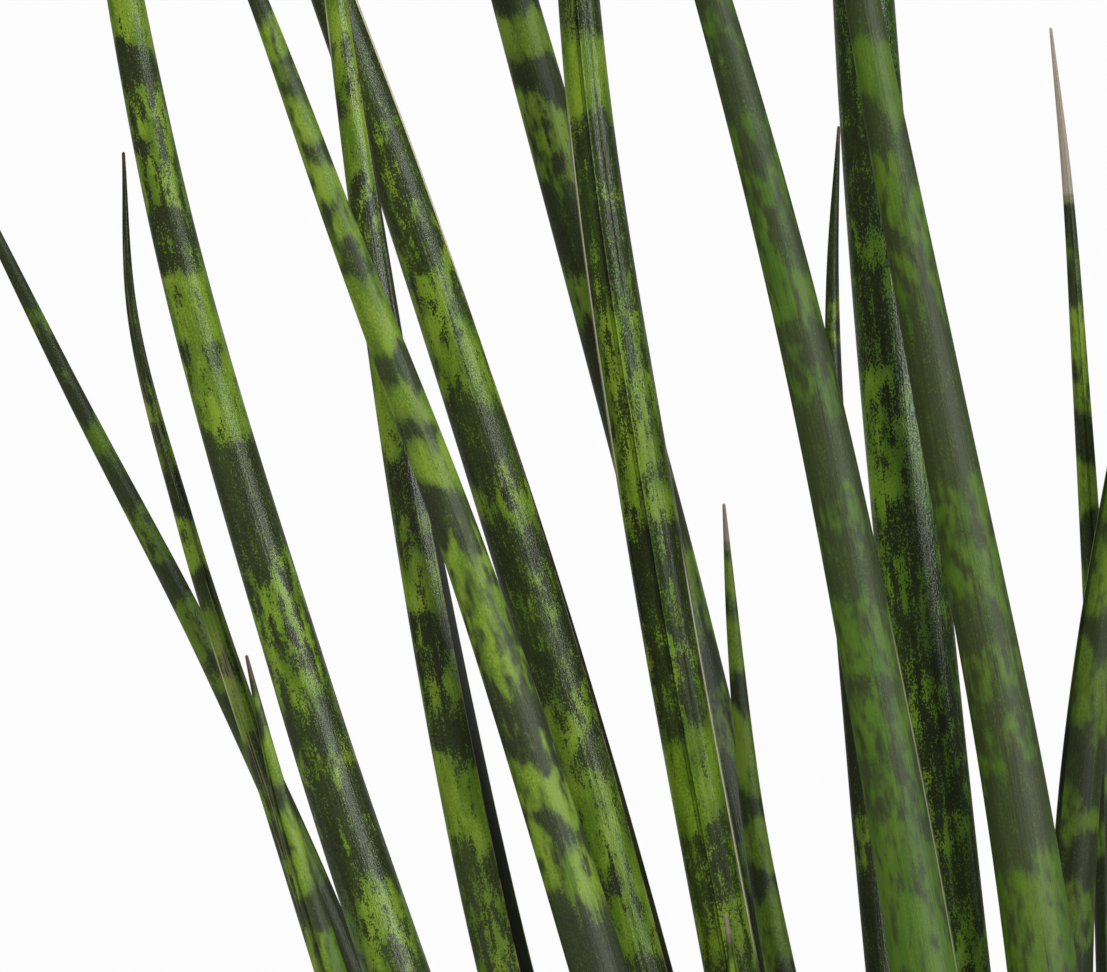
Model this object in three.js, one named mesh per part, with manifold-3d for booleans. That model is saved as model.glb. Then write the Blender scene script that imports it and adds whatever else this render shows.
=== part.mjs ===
// A potted mikado snake plant (Sansevieria bacularis), in millimetres, +Z up. The origin is the centre of the
// pot's flat foot. Slender, nearly round leaves, each with one channel, fan out of a plain clay pot.
// They stand in pairs, each pair clasped by a pointed scale leaf, on a rhizome that creeps under the soil.
// The side seen from -Y holds the leaves of the photograph, and the rest of the fan is set by a rule.

import * as THREE from "three";
import { mergeVertices } from "three/addons/utils/BufferGeometryUtils.js";
import Module from "manifold-3d";

const wasm = await Module();
wasm.setup();

// Pot: a plain tapered clay pot with a raised rim band and drainage holes
const POT = {
  height: 190,
  baseRadius: 76,
  neckRadius: 96,
  rimRadius: 104,
  rimHeight: 34,
  wall: 8,
  floor: 11,
  edge: 2.5,
  sides: 40,
};
const DRAIN = { radius: 6, ring: 44, count: 4, sides: 10, overshoot: 1 };

// Soil: fills the pot to a little below the rim, with a low crumbly relief
const SOIL = { top: 172, relief: 1.8, lump: 13, sway: 1.3, rings: 6 };

// Clearance between pieces that touch
const GAP = 0.3;

// Leaves: how deep they stand in the soil, how they narrow to the foot and the tip, and their section
const LEAF = {
  buried: 15,
  footShare: 0.8,
  footReach: 0.25,
  tipRadius: 0.35,
  taperPower: 0.6,
  backPoints: 7,
  lipAngle: 24,
  channelDepth: 0.36,
};
const LEAF_STATIONS = [0, 0.1, 0.26, 0.43, 0.59, 0.73, 0.85, 0.94, 1];

// Scale leaf round the foot of a pair: two thin sleeves grown together, each plain up to a collar at the soil
// and pointed above it, on the side away from the channel
const SHEATH = { wall: 1.1, room: 0.5, collar: 23, low: 31, point: 64, sides: 7 };

// Rhizome: creeping stem links at one depth, and an upright crown under each pair
const RHIZOME = { depth: 36, linkRadius: 5.5, linkSides: 5, crownRadius: 8, crownSides: 6 };

// Pairs whose leaves the photograph shows. at: the middle of the pair on the soil. turn: the way from its
// first leaf to its second, in degrees from +X. line: the points that a leaf passes through, tip last.
// girth: the full thickness. taper: the length over which the leaf draws out to its tip.
// faces: the way the channel looks at the foot and at the tip, in degrees from +X.
const SEEN_PAIRS = [
  {
    at: [-56, 8],
    turn: -90,
    leaves: [
      { line: [[-160, 12, 500], [-171.5, 12, 532], [-181.5, 13, 550], [-209, 14, 602], [-261, 17, 706]],
        girth: 9.8, taper: 400, faces: [-30, 0] },
      { line: [[-164, -6, 500], [-183, -7, 559], [-191.5, -7, 585], [-204.5, -8, 632], [-209.5, -8, 668],
        [-208.5, -8, 677]], girth: 9.8, taper: 370, faces: [-65, -55] },
    ],
  },
  {
    at: [-48, -18],
    turn: -124,
    leaves: [
      { line: [[-148.5, -26, 502], [-176.5, -27, 585], [-191, -29, 636], [-206.5, -30, 708],
        [-230, -33, 850]], girth: 15.6, taper: 450, faces: [20, 10] },
      { line: [[-162, -35, 501], [-170.5, -36, 530], [-176.5, -36, 551], [-180.5, -37, 569]],
        girth: 8, taper: 120, faces: [-80, -135] },
    ],
  },
  {
    at: [-27, -33],
    turn: 0,
    leaves: [
      { line: [[-125.5, -34, 502], [-133, -35, 534], [-146, -36, 603], [-155, -37, 661], [-161.5, -38, 708],
        [-170, -40, 770]], girth: 12.6, taper: 300, faces: [-95, 10] },
      { line: [[-77, -20, 501], [-87.5, -19, 559], [-95.5, -18, 602], [-110, -16, 707], [-118, -14, 890]],
        girth: 12, taper: 290, faces: [-102, -102] },
    ],
  },
  {
    at: [-7, -46],
    turn: 0,
    leaves: [
      { line: [[-106, -50, 503], [-138, -54, 602], [-151, -55, 636], [-163.5, -57, 669], [-177, -58, 706],
        [-193.5, -61, 745]], girth: 13.5, taper: 315, faces: [30, 20] },
      { line: [[-77.5, -34, 501], [-79, -34, 514]], girth: 8, taper: 100, faces: [-60, -60] },
    ],
  },
  {
    at: [-14, -12],
    turn: 0,
    leaves: [
      { line: [[-96, -16, 501], [-113, -16, 559], [-126, -17, 602], [-142.5, -17, 653], [-163, -18, 709],
        [-212, -21, 850]], girth: 13, taper: 260, faces: [-50, 25] },
      { line: [[-66, 0, 500], [-72, 0, 532], [-75.5, 0, 563], [-78.5, 0, 601]],
        girth: 7.8, taper: 140, faces: [-40, 30] },
    ],
  },
  {
    at: [-6.5, 22],
    turn: 20,
    leaves: [
      { line: [[-68.5, 14, 500], [-85, 15, 567], [-94.5, 16, 602], [-110.5, 17, 663], [-124, 18, 711],
        [-168, 22, 870]], girth: 12.4, taper: 240, faces: [-10, 20] },
      { line: [[-42.5, 30, 500], [-49, 32, 566], [-53, 33, 618], [-53.5, 34, 647], [-52, 35, 685]],
        girth: 9.5, taper: 250, faces: [10, -60] },
    ],
  },
  {
    at: [14, -46],
    turn: 90,
    leaves: [
      { line: [[-38.5, -64, 503], [-48.5, -68, 561], [-56.5, -70, 602], [-66, -72, 643], [-83, -78, 706],
        [-119, -88, 815]], girth: 15.4, taper: 385, faces: [60, 40] },
      { line: [[-31, -44, 502], [-41.5, -47, 602], [-50.5, -50, 706], [-59, -56, 900]],
        girth: 15, taper: 250, faces: [20, 30] },
    ],
  },
  {
    at: [41, -52],
    turn: 0,
    leaves: [
      { line: [[-14.5, -64, 504], [-21.5, -67, 552], [-31, -69, 600], [-40, -71, 643], [-52, -75, 705],
        [-68, -80, 800]], girth: 16.8, taper: 385, faces: [40, 30] },
      { line: [[98, -92, 505], [116, -104, 610], [124, -112, 728]],
        girth: 13, taper: 320, faces: [150, 170] },
    ],
  },
  {
    at: [10, 45],
    turn: 28,
    leaves: [
      { line: [[0.5, 45, 500], [8, 47, 585], [12.5, 48, 610], [35, 51, 710], [54, 56, 800]],
        girth: 11, taper: 340, faces: [-150, -160] },
      { line: [[10.5, 57, 501], [5.5, 60, 603], [3.5, 61, 638], [1.5, 63, 670], [-2.5, 64, 709]],
        girth: 9, taper: 330, faces: [-60, -90] },
    ],
  },
  {
    at: [21, 0],
    turn: 0,
    leaves: [
      { line: [[12, 8, 500], [11.5, 10, 602], [20, 12, 710], [27, 16, 842]],
        girth: 12.5, taper: 330, faces: [-70, -60] },
      { line: [[62, 2, 480], [84, 4, 640], [92, 6, 862]], girth: 14, taper: 320, faces: [180, 190] },
    ],
  },
];

// Pairs set by the rule: the places are chosen, and each leaf leans out of the pot's middle the more, the
// further out it stands. height: the mean height of the pair's tips over the soil. girth: their mean
// thickness.
const RULED_PAIRS = [
  { at: [45, -21], turn: -60, height: 550, girth: 13 },
  { at: [48, 17], turn: 20, height: 600, girth: 14 },
  { at: [40, 47], turn: 70, height: 600, girth: 13 },
  { at: [22, 63], turn: 170, height: 500, girth: 11.5 },
  { at: [66, -8], turn: 90, height: 420, girth: 11 },
  { at: [-36, 50], turn: 130, height: 270, girth: 10.5 },
  { at: [-36, -56], turn: 20, height: 235, girth: 10 },
];
const RULE = {
  seed: 41,
  heightSpread: 0.22,
  girthSpread: 0.12,
  leanSpread: 0.1,
  taperShare: 0.48,
  channelSpread: 40,
  levels: [0.4, 0.75, 1],
};

// How far the fan opens: a place at the soil moves out by this many times its distance for each height
const FAN = { reach: 350, opening: 1.75, closing: 0.62 };

// Vertices this close are one, and a leaf's curve is measured in this many steps
const MERGE_DISTANCE = 1e-4;
const CURVE_STEPS = 400;

const radians = THREE.MathUtils.degToRad;

// Random numbers from 0 to 1, the same on each run: each state is worked out from the one before it
const RANDOM = { multiplier: 1664525, increment: 1013904223, range: 2 ** 32 };
function seededRandom(seed) {
  let state = seed;
  return () => {
    state = (Math.imul(state, RANDOM.multiplier) + RANDOM.increment) >>> 0;
    return state / RANDOM.range;
  };
}

// Turns a three.js geometry into a solid for joining and cutting
function toSolid(geometry) {
  const bare = geometry.clone();
  bare.deleteAttribute("normal");
  bare.deleteAttribute("uv");
  const merged = mergeVertices(bare, MERGE_DISTANCE);
  const mesh = new wasm.Mesh({
    numProp: 3,
    vertProperties: new Float32Array(merged.attributes.position.array),
    triVerts: new Uint32Array(merged.index.array),
  });
  return new wasm.Manifold(mesh);
}

function toGeometry(solid) {
  const mesh = solid.getMesh();
  const geometry = new THREE.BufferGeometry();
  geometry.setAttribute("position", new THREE.BufferAttribute(new Float32Array(mesh.vertProperties), 3));
  geometry.setIndex(new THREE.BufferAttribute(new Uint32Array(mesh.triVerts), 1));
  geometry.computeVertexNormals();
  return geometry;
}

function joined(solids) {
  return solids.reduce((whole, solid) => whole.add(solid));
}

// Upright prism or cylinder between two heights
function column(x, y, low, high, radius, sides) {
  const geometry = new THREE.CylinderGeometry(radius, radius, high - low, sides);
  geometry.rotateX(Math.PI / 2);
  geometry.translate(x, y, (low + high) / 2);
  return geometry;
}

// The point on the soil where a leaf of a pair stands. side is -1 for the first leaf and 1 for the second.
// The feet stand as close as the leaves' girths and one wall of scale leaf between them let them.
function footOf(pair, girths, side) {
  const apart = ((girths[0] + girths[1]) / 2) * LEAF.footShare + 2 * SHEATH.room + SHEATH.wall;
  const turn = radians(pair.turn);
  const offset = (side * apart) / 2;
  return [pair.at[0] + offset * Math.cos(turn), pair.at[1] + offset * Math.sin(turn)];
}

function fanScale(height) {
  const share = height / FAN.reach;
  return 1 + FAN.opening * share - FAN.closing * Math.max(0, share - 1) * share;
}

// The leaves of a pair that the rule sets
function ruledPair(pair, random) {
  const spread = (amount) => 1 + amount * (2 * random() - 1);
  const girths = [pair.girth * spread(RULE.girthSpread), pair.girth * spread(RULE.girthSpread)];
  const leaves = [-1, 1].map((side, i) => {
    const foot = footOf(pair, girths, side);
    const height = pair.height * spread(RULE.heightSpread);
    const lean = spread(RULE.leanSpread);
    const inward = THREE.MathUtils.radToDeg(Math.atan2(-foot[1], -foot[0]));
    const line = RULE.levels.map((level) => {
      const scale = 1 + (fanScale(height * level) - 1) * lean;
      return [foot[0] * scale, foot[1] * scale, SOIL.top + height * level];
    });
    const faces = [inward, inward + RULE.channelSpread * (2 * random() - 1)];
    return { line, girth: girths[i], taper: height * RULE.taperShare, faces };
  });
  return { ...pair, leaves };
}

// A leaf with its foot, its curve, and its radius and channel direction at any share of its length
function shapedLeaf(pair, leaf, side) {
  const [x, y] = footOf(pair, pair.leaves.map((each) => each.girth), side);
  const foot = new THREE.Vector3(x, y, SOIL.top - LEAF.buried);
  const points = [foot, ...leaf.line.map((point) => new THREE.Vector3(...point))];
  const curve = new THREE.CatmullRomCurve3(points, false, "centripetal");
  curve.arcLengthDivisions = CURVE_STEPS;
  const length = curve.getLength();
  const radiusAt = (share) => {
    const drawnOut = Math.min(1, ((1 - share) * length) / leaf.taper) ** LEAF.taperPower;
    const fromFoot = THREE.MathUtils.smoothstep(share, 0, LEAF.footReach);
    const footNarrowing = LEAF.footShare + (1 - LEAF.footShare) * fromFoot;
    return Math.max(LEAF.tipRadius, (leaf.girth / 2) * drawnOut * footNarrowing);
  };
  const facingAt = (share) => radians(leaf.faces[0] + (leaf.faces[1] - leaf.faces[0]) * share);
  return { curve, length, radiusAt, facingAt };
}

// Shape of the section: back points on a circle, two lips, and the bottom of the channel between them
function sectionPoint(index, count, channelDepth) {
  const lip = radians(LEAF.lipAngle);
  if (index === 0) {
    return { angle: 0, reach: 1 - channelDepth };
  }
  const step = (2 * Math.PI - 2 * lip) / (count - 2);
  return { angle: lip + (index - 1) * step, reach: 1 };
}

// Bends a unit cylinder along a leaf. place gives each vertex its share of the length, its angle to the
// channel, its radius, and how far it lies beyond that share along the leaf.
function alongLeaf(leaf, sides, rows, place) {
  const geometry = new THREE.CylinderGeometry(1, 1, 1, sides, rows);
  const position = geometry.attributes.position;
  const vertex = new THREE.Vector3();
  for (let i = 0; i < position.count; i += 1) {
    vertex.fromBufferAttribute(position, i);
    const onAxis = Math.hypot(vertex.x, vertex.z) < 0.5;
    const turns = Math.atan2(vertex.x, vertex.z) / (2 * Math.PI);
    const index = (Math.round(turns * sides) + sides) % sides;
    const row = Math.round((vertex.y + 0.5) * rows);
    const { share, angle, radius, beyond } = place(row, index, onAxis);
    const centre = leaf.curve.getPointAt(share);
    const tangent = leaf.curve.getTangentAt(share);
    const facing = leaf.facingAt(share);
    const channel = new THREE.Vector3(Math.cos(facing), Math.sin(facing), 0);
    channel.addScaledVector(tangent, -channel.dot(tangent)).normalize();
    const sideways = tangent.clone().cross(channel);
    centre.addScaledVector(tangent, beyond);
    centre.addScaledVector(channel, radius * Math.cos(angle));
    centre.addScaledVector(sideways, radius * Math.sin(angle));
    position.setXYZ(i, centre.x, centre.y, centre.z);
  }
  return geometry;
}

function leafGeometry(leaf) {
  const sides = LEAF.backPoints + 3;
  const rows = LEAF_STATIONS.length - 1;
  return alongLeaf(leaf, sides, rows, (row, index, onAxis) => {
    const share = LEAF_STATIONS[row];
    const depth = row === rows ? 0 : LEAF.channelDepth;
    const { angle, reach } = sectionPoint(index, sides, depth);
    const radius = onAxis ? 0 : leaf.radiusAt(share) * reach;
    return { share, angle, radius, beyond: 0 };
  });
}

// Corner radius of a sleeve's outline whose flats lie at a radius
function cornerRadius(flatRadius) {
  return flatRadius / Math.cos(Math.PI / SHEATH.sides);
}

// A tube round a leaf's foot. reaches: how far up the leaf each row lies, from an angle to the channel.
function footTube(leaf, margin, reaches) {
  return alongLeaf(leaf, SHEATH.sides, reaches.length - 1, (row, index, onAxis) => {
    const angle = (index / SHEATH.sides) * 2 * Math.PI;
    const reach = reaches[row](onAxis ? Math.PI / 2 : angle);
    const share = Math.max(0, reach) / leaf.length;
    const radius = onAxis ? 0 : cornerRadius(leaf.radiusAt(share) + margin);
    return { share, angle, radius, beyond: Math.min(0, reach) };
  });
}

// The heights of a sleeve's rows: under the foot, at the collar, and at the pointed edge
function sleeveRows(grow) {
  const pointed = (angle) => ((1 - Math.cos(angle)) / 2) ** 2;
  return [
    () => -SHEATH.wall - GAP - grow,
    () => SHEATH.collar,
    (angle) => SHEATH.low + (SHEATH.point - SHEATH.low) * pointed(angle),
  ];
}

function sheathSolid(pair) {
  const sleeves = pair.shaped.map((leaf) => footTube(leaf, SHEATH.room + SHEATH.wall, sleeveRows(0)));
  const rooms = pair.shaped.map((leaf) => {
    return footTube(leaf, SHEATH.room, [() => -GAP, () => SHEATH.collar, () => SHEATH.point + SHEATH.wall]);
  });
  return rooms.map(toSolid).reduce((whole, room) => whole.subtract(room), joined(sleeves.map(toSolid)));
}

// The hole in the soil that a pair stands in, up to the collar
function shootHole(pair) {
  const tubes = pair.shaped.map((leaf) => {
    return footTube(leaf, SHEATH.room + SHEATH.wall + GAP, sleeveRows(GAP).slice(0, 2));
  });
  return joined(tubes.map(toSolid));
}

// The lowest point of a pair's scale leaf
function shootFloor(pair) {
  const floors = pair.shaped.map((leaf) => {
    const tube = footTube(leaf, SHEATH.room + SHEATH.wall, sleeveRows(0));
    tube.computeBoundingBox();
    return tube.boundingBox.min.z;
  });
  return Math.min(...floors);
}

// One link of the rhizome between two crowns
function link(from, to, radius) {
  const start = new THREE.Vector3(...from);
  const way = new THREE.Vector3(...to).sub(start);
  const geometry = new THREE.CylinderGeometry(radius, radius, way.length(), RHIZOME.linkSides);
  geometry.translate(0, way.length() / 2, 0);
  const turn = new THREE.Quaternion().setFromUnitVectors(new THREE.Vector3(0, 1, 0), way.normalize());
  geometry.applyQuaternion(turn);
  geometry.translate(start.x, start.y, start.z);
  return geometry;
}

// The rhizome: each crown hangs on the nearest crown before it in the list
function rhizomeSolid(pairs, grow) {
  const level = SOIL.top - RHIZOME.depth;
  const parts = [];
  pairs.forEach((pair, i) => {
    const [x, y] = pair.at;
    const low = level - RHIZOME.linkRadius - grow;
    const high = shootFloor(pair) - GAP + grow;
    parts.push(column(x, y, low, high, RHIZOME.crownRadius + grow, RHIZOME.crownSides));
    const distance = (other) => Math.hypot(other.at[0] - x, other.at[1] - y);
    const nearest = pairs.slice(0, i).sort((a, b) => distance(a) - distance(b))[0];
    if (nearest) {
      parts.push(link([x, y, level], [...nearest.at, level], RHIZOME.linkRadius + grow));
    }
  });
  return joined(parts.map(toSolid));
}

// Inside radius of the pot at a height
function potInside(height) {
  const neckHeight = POT.height - POT.rimHeight;
  const share = (height - POT.floor) / (neckHeight - POT.floor);
  return POT.baseRadius - POT.wall + (POT.neckRadius - POT.baseRadius) * Math.min(1, share);
}

function potSolid() {
  const neckHeight = POT.height - POT.rimHeight;
  const { edge } = POT;
  const outline = [
    [0, 0],
    [POT.baseRadius - edge, 0],
    [POT.baseRadius, edge],
    [POT.neckRadius, neckHeight],
    [POT.rimRadius - edge, neckHeight],
    [POT.rimRadius, neckHeight + edge],
    [POT.rimRadius, POT.height - edge],
    [POT.rimRadius - edge, POT.height],
    [potInside(neckHeight) + edge, POT.height],
    [potInside(neckHeight), POT.height - edge],
    [potInside(neckHeight), neckHeight],
    [potInside(POT.floor), POT.floor],
    [0, POT.floor],
  ];
  const body = new THREE.LatheGeometry(outline.map(([x, y]) => new THREE.Vector2(x, y)), POT.sides);
  body.rotateX(Math.PI / 2);
  let pot = toSolid(body);
  for (let i = 0; i < DRAIN.count; i += 1) {
    const angle = ((i + 0.5) / DRAIN.count) * 2 * Math.PI;
    const x = DRAIN.ring * Math.cos(angle);
    const y = DRAIN.ring * Math.sin(angle);
    const hole = column(x, y, -DRAIN.overshoot, POT.floor + DRAIN.overshoot, DRAIN.radius, DRAIN.sides);
    pot = pot.subtract(toSolid(hole));
  }
  return pot;
}

// Low lumps on the soil, flat at the pot's wall
function soilRelief(x, y, edgeShare) {
  const [across, along] = [x / SOIL.lump, y / SOIL.lump];
  const waves = Math.sin(across + SOIL.sway * Math.sin(along)) + Math.sin(along - across / 2);
  return (SOIL.relief / 2) * waves * (1 - edgeShare ** 4);
}

function soilSolid(pairs) {
  const top = potInside(SOIL.top) - GAP;
  const neckHeight = POT.height - POT.rimHeight;
  const outline = [
    [0, POT.floor + GAP],
    [potInside(POT.floor) - GAP, POT.floor + GAP],
    [potInside(neckHeight) - GAP, neckHeight],
  ];
  for (let ring = SOIL.rings; ring >= 0; ring -= 1) {
    outline.push([(top * ring) / SOIL.rings, SOIL.top]);
  }
  const body = new THREE.LatheGeometry(outline.map(([x, y]) => new THREE.Vector2(x, y)), POT.sides);
  body.rotateX(Math.PI / 2);
  const position = body.attributes.position;
  for (let i = 0; i < position.count; i += 1) {
    if (position.getZ(i) > SOIL.top - GAP) {
      const [x, y] = [position.getX(i), position.getY(i)];
      position.setZ(i, SOIL.top + soilRelief(x, y, Math.hypot(x, y) / top));
    }
  }
  const holes = pairs.map(shootHole);
  return holes.reduce((soil, hole) => soil.subtract(hole), toSolid(body)).subtract(rhizomeSolid(pairs, GAP));
}

const FINISHES = {
  leaf: { color: 0x4c6238, roughness: 0.45, metalness: 0 },
  sheath: { color: 0x8a7458, roughness: 0.75, metalness: 0 },
  soil: { color: 0x3a2c22, roughness: 0.95, metalness: 0 },
  rhizome: { color: 0xc98a4a, roughness: 0.7, metalness: 0 },
  pot: { color: 0xb4694a, roughness: 0.85, metalness: 0 },
};

function piece(name, geometry, finish) {
  const mesh = new THREE.Mesh(geometry, new THREE.MeshStandardMaterial(FINISHES[finish]));
  mesh.name = name;
  return mesh;
}

function buildPlant() {
  const random = seededRandom(RULE.seed);
  const pairs = [...SEEN_PAIRS, ...RULED_PAIRS.map((pair) => ruledPair(pair, random))];
  for (const pair of pairs) {
    pair.shaped = pair.leaves.map((leaf, i) => shapedLeaf(pair, leaf, 2 * i - 1));
  }
  const plant = new THREE.Group();
  let leafNumber = 0;
  pairs.forEach((pair, i) => {
    const pairName = String(i + 1).padStart(2, "0");
    plant.add(piece(`sheath_${pairName}`, toGeometry(sheathSolid(pair)), "sheath"));
    for (const leaf of pair.shaped) {
      leafNumber += 1;
      plant.add(piece(`leaf_${String(leafNumber).padStart(2, "0")}`, leafGeometry(leaf), "leaf"));
    }
  });
  plant.add(piece("rhizome", toGeometry(rhizomeSolid(pairs, 0)), "rhizome"));
  plant.add(piece("soil", toGeometry(soilSolid(pairs)), "soil"));
  plant.add(piece("pot", toGeometry(potSolid()), "pot"));
  return plant;
}

export default buildPlant();
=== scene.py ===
"""Looks of a potted mikado snake plant (Sansevieria bacularis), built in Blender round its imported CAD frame.

Metres, +Z up, the middle of the pot's flat foot at the origin, the photographed side towards -Y. Every leaf
is drawn out of one modelled blank along the line of its CAD leaf, and carries its own light cross bands. The
scale leaves, the potting mix and the pot are finer pieces over their CAD nodes, and the rhizome stays CAD.
"""

import logging
import math
from collections.abc import Callable
from dataclasses import dataclass, replace
from enum import Enum
from statistics import NormalDist

import bmesh
import bpy
import numpy as np
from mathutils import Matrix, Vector, noise


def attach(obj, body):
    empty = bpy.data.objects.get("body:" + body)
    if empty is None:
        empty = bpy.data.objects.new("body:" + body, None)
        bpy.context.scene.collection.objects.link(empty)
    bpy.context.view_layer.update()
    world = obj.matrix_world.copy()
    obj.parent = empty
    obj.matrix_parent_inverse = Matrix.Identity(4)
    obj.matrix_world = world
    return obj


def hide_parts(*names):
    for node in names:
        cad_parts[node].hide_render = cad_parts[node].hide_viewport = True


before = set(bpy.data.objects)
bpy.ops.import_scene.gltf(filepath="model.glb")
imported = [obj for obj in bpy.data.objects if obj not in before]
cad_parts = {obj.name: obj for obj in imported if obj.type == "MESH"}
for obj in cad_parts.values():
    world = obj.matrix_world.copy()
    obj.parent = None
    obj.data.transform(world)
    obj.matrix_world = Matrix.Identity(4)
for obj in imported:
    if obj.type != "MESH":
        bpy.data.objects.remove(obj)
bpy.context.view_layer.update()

MM = 0.001
BODY = "root"
LOG = logging.getLogger("snake_plant")
# Spread of the noise texture round 0.5 for each number of finer layers
NOISE_SPREADS = (0.135, 0.1, 0.088, 0.083)

Colour = tuple[float, float, float, float]
Triple = tuple[float, float, float]
Pair = tuple[float, float]
Array = np.ndarray
Piece = bpy.types.Object
Material = bpy.types.Material
Socket = bpy.types.NodeSocket
Value = float | tuple | Socket


class Slot(Enum):
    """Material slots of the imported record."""

    LEAF = "leaf"
    SHEATH = "sheath"
    SOIL = "soil"
    POT = "pot"


def screen_colour(red: int, green: int, blue: int) -> Colour:
    """Turns a colour of a screen, each part from 0 to 255, into Blender's linear light."""
    shares = [part / 255 for part in (red, green, blue)]
    return (*(s / 12.92 if s <= 0.04045 else ((s + 0.055) / 1.055) ** 2.4 for s in shares), 1.0)


BLACK = screen_colour(0, 0, 0)


class Shader:
    """A node tree under construction: each call adds a node and links what goes into it."""

    def __init__(self, owner: Material | bpy.types.World) -> None:
        """Starts the owner's nodes afresh.

        Args:
            owner: The material, or the world, that the nodes are for.
        """
        owner.use_nodes = True
        self.owner = owner
        self.tree = owner.node_tree
        self.tree.nodes.clear()

    def add(self, kind: str, inputs: dict[str | int, Value], **settings: object) -> bpy.types.Node:
        """Adds a node.

        Args:
            kind: Blender's name of the node type, without ShaderNode in front.
            inputs: A number, colour or socket for each input, by its name or index.
            **settings: Values of the node's own properties.

        Returns:
            The node.
        """
        node = self.tree.nodes.new("ShaderNode" + kind)
        for key, value in settings.items():
            setattr(node, key, value)
        for key, value in inputs.items():
            if isinstance(value, Socket):
                self.tree.links.new(value, node.inputs[key])
            else:
                node.inputs[key].default_value = value
        return node

    def attribute(self, name: str, output: str = "Fac") -> Socket:
        """Reads the number, or with output Vector the vector, that each vertex carries."""
        return self.add("Attribute", {}, attribute_name=name).outputs[output]

    def object_place(self) -> Socket:
        """Gives the place on the object, in metres."""
        return self.add("TexCoord", {}).outputs["Object"]

    def math(self, operation: str, *values: Value) -> Socket:
        """Works out one number from others."""
        return self.add("Math", dict(enumerate(values)), operation=operation).outputs[0]

    def vector(self, operation: str, inputs: dict[str | int, Value], output: int = 0) -> Socket:
        """Works out a vector, or with output 1 its number, from others."""
        return self.add("VectorMath", inputs, operation=operation).outputs[output]

    def noise(self, place: Socket, size: Triple, detail: float = 2.0) -> Socket:
        """Adds soft noise round 0.5, with its blotches' size along each axis and that many finer layers."""
        scaled = self.vector("MULTIPLY", {0: place, 1: tuple(1 / each for each in size)})
        return self.add("TexNoise", {"Vector": scaled, "Scale": 1.0, "Detail": detail}).outputs["Fac"]

    def bell(self, place: Socket, size: Triple, detail: int = 1) -> Socket:
        """Adds soft noise round 0 with a spread of about 1, with up to 3 finer layers."""
        centred = self.math("SUBTRACT", self.noise(place, size, detail), 0.5)
        return self.math("DIVIDE", centred, NOISE_SPREADS[detail])

    def weighted(self, weights: tuple[float, ...], *parts: Socket) -> Socket:
        """Adds up numbers by weight.

        Args:
            weights: The weight of each number.
            *parts: The numbers.

        Returns:
            The sum.
        """
        total = 0.0
        for weight, part in zip(weights, parts):
            total = self.math("MULTIPLY_ADD", part, weight, total)
        return total

    def step(self, value: Value, low: float, high: float) -> Socket:
        """Rises smoothly from 0 to 1 as a number goes from low to high."""
        inputs = {"Value": value, "From Min": low, "From Max": high}
        return self.add("MapRange", inputs, interpolation_type="SMOOTHSTEP").outputs[0]

    def blend(self, share: Value, first: Value, second: Value) -> Socket:
        """Blends two colours by the share that the second has."""
        inputs = {0: share, 6: first, 7: second}
        return self.add("Mix", inputs, data_type="RGBA", clamp_factor=True).outputs[2]

    def between(self, share: Value, first: Value, second: Value) -> Socket:
        """Blends two numbers by the share that the second has."""
        return self.add("Mix", {0: share, 2: first, 3: second}, data_type="FLOAT").outputs[0]

    def bump(self, height: Value, depth: float) -> Socket:
        """Turns a height into shading, where a height of 1 stands for a depth in metres."""
        return self.add("Bump", {"Height": height, "Distance": depth, "Strength": 1.0}).outputs[0]

    def surface(self, colour: Value, roughness: Value, others: dict[str, Value]) -> Material:
        """Ends the material in one principled surface.

        Args:
            colour: The base colour.
            roughness: The roughness.
            others: What goes into the surface's other inputs, by name.

        Returns:
            The finished material.
        """
        inputs = {"Base Color": colour, "Roughness": roughness, **others}
        self.add("OutputMaterial", {"Surface": self.add("BsdfPrincipled", inputs).outputs[0]})
        return self.owner


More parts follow.
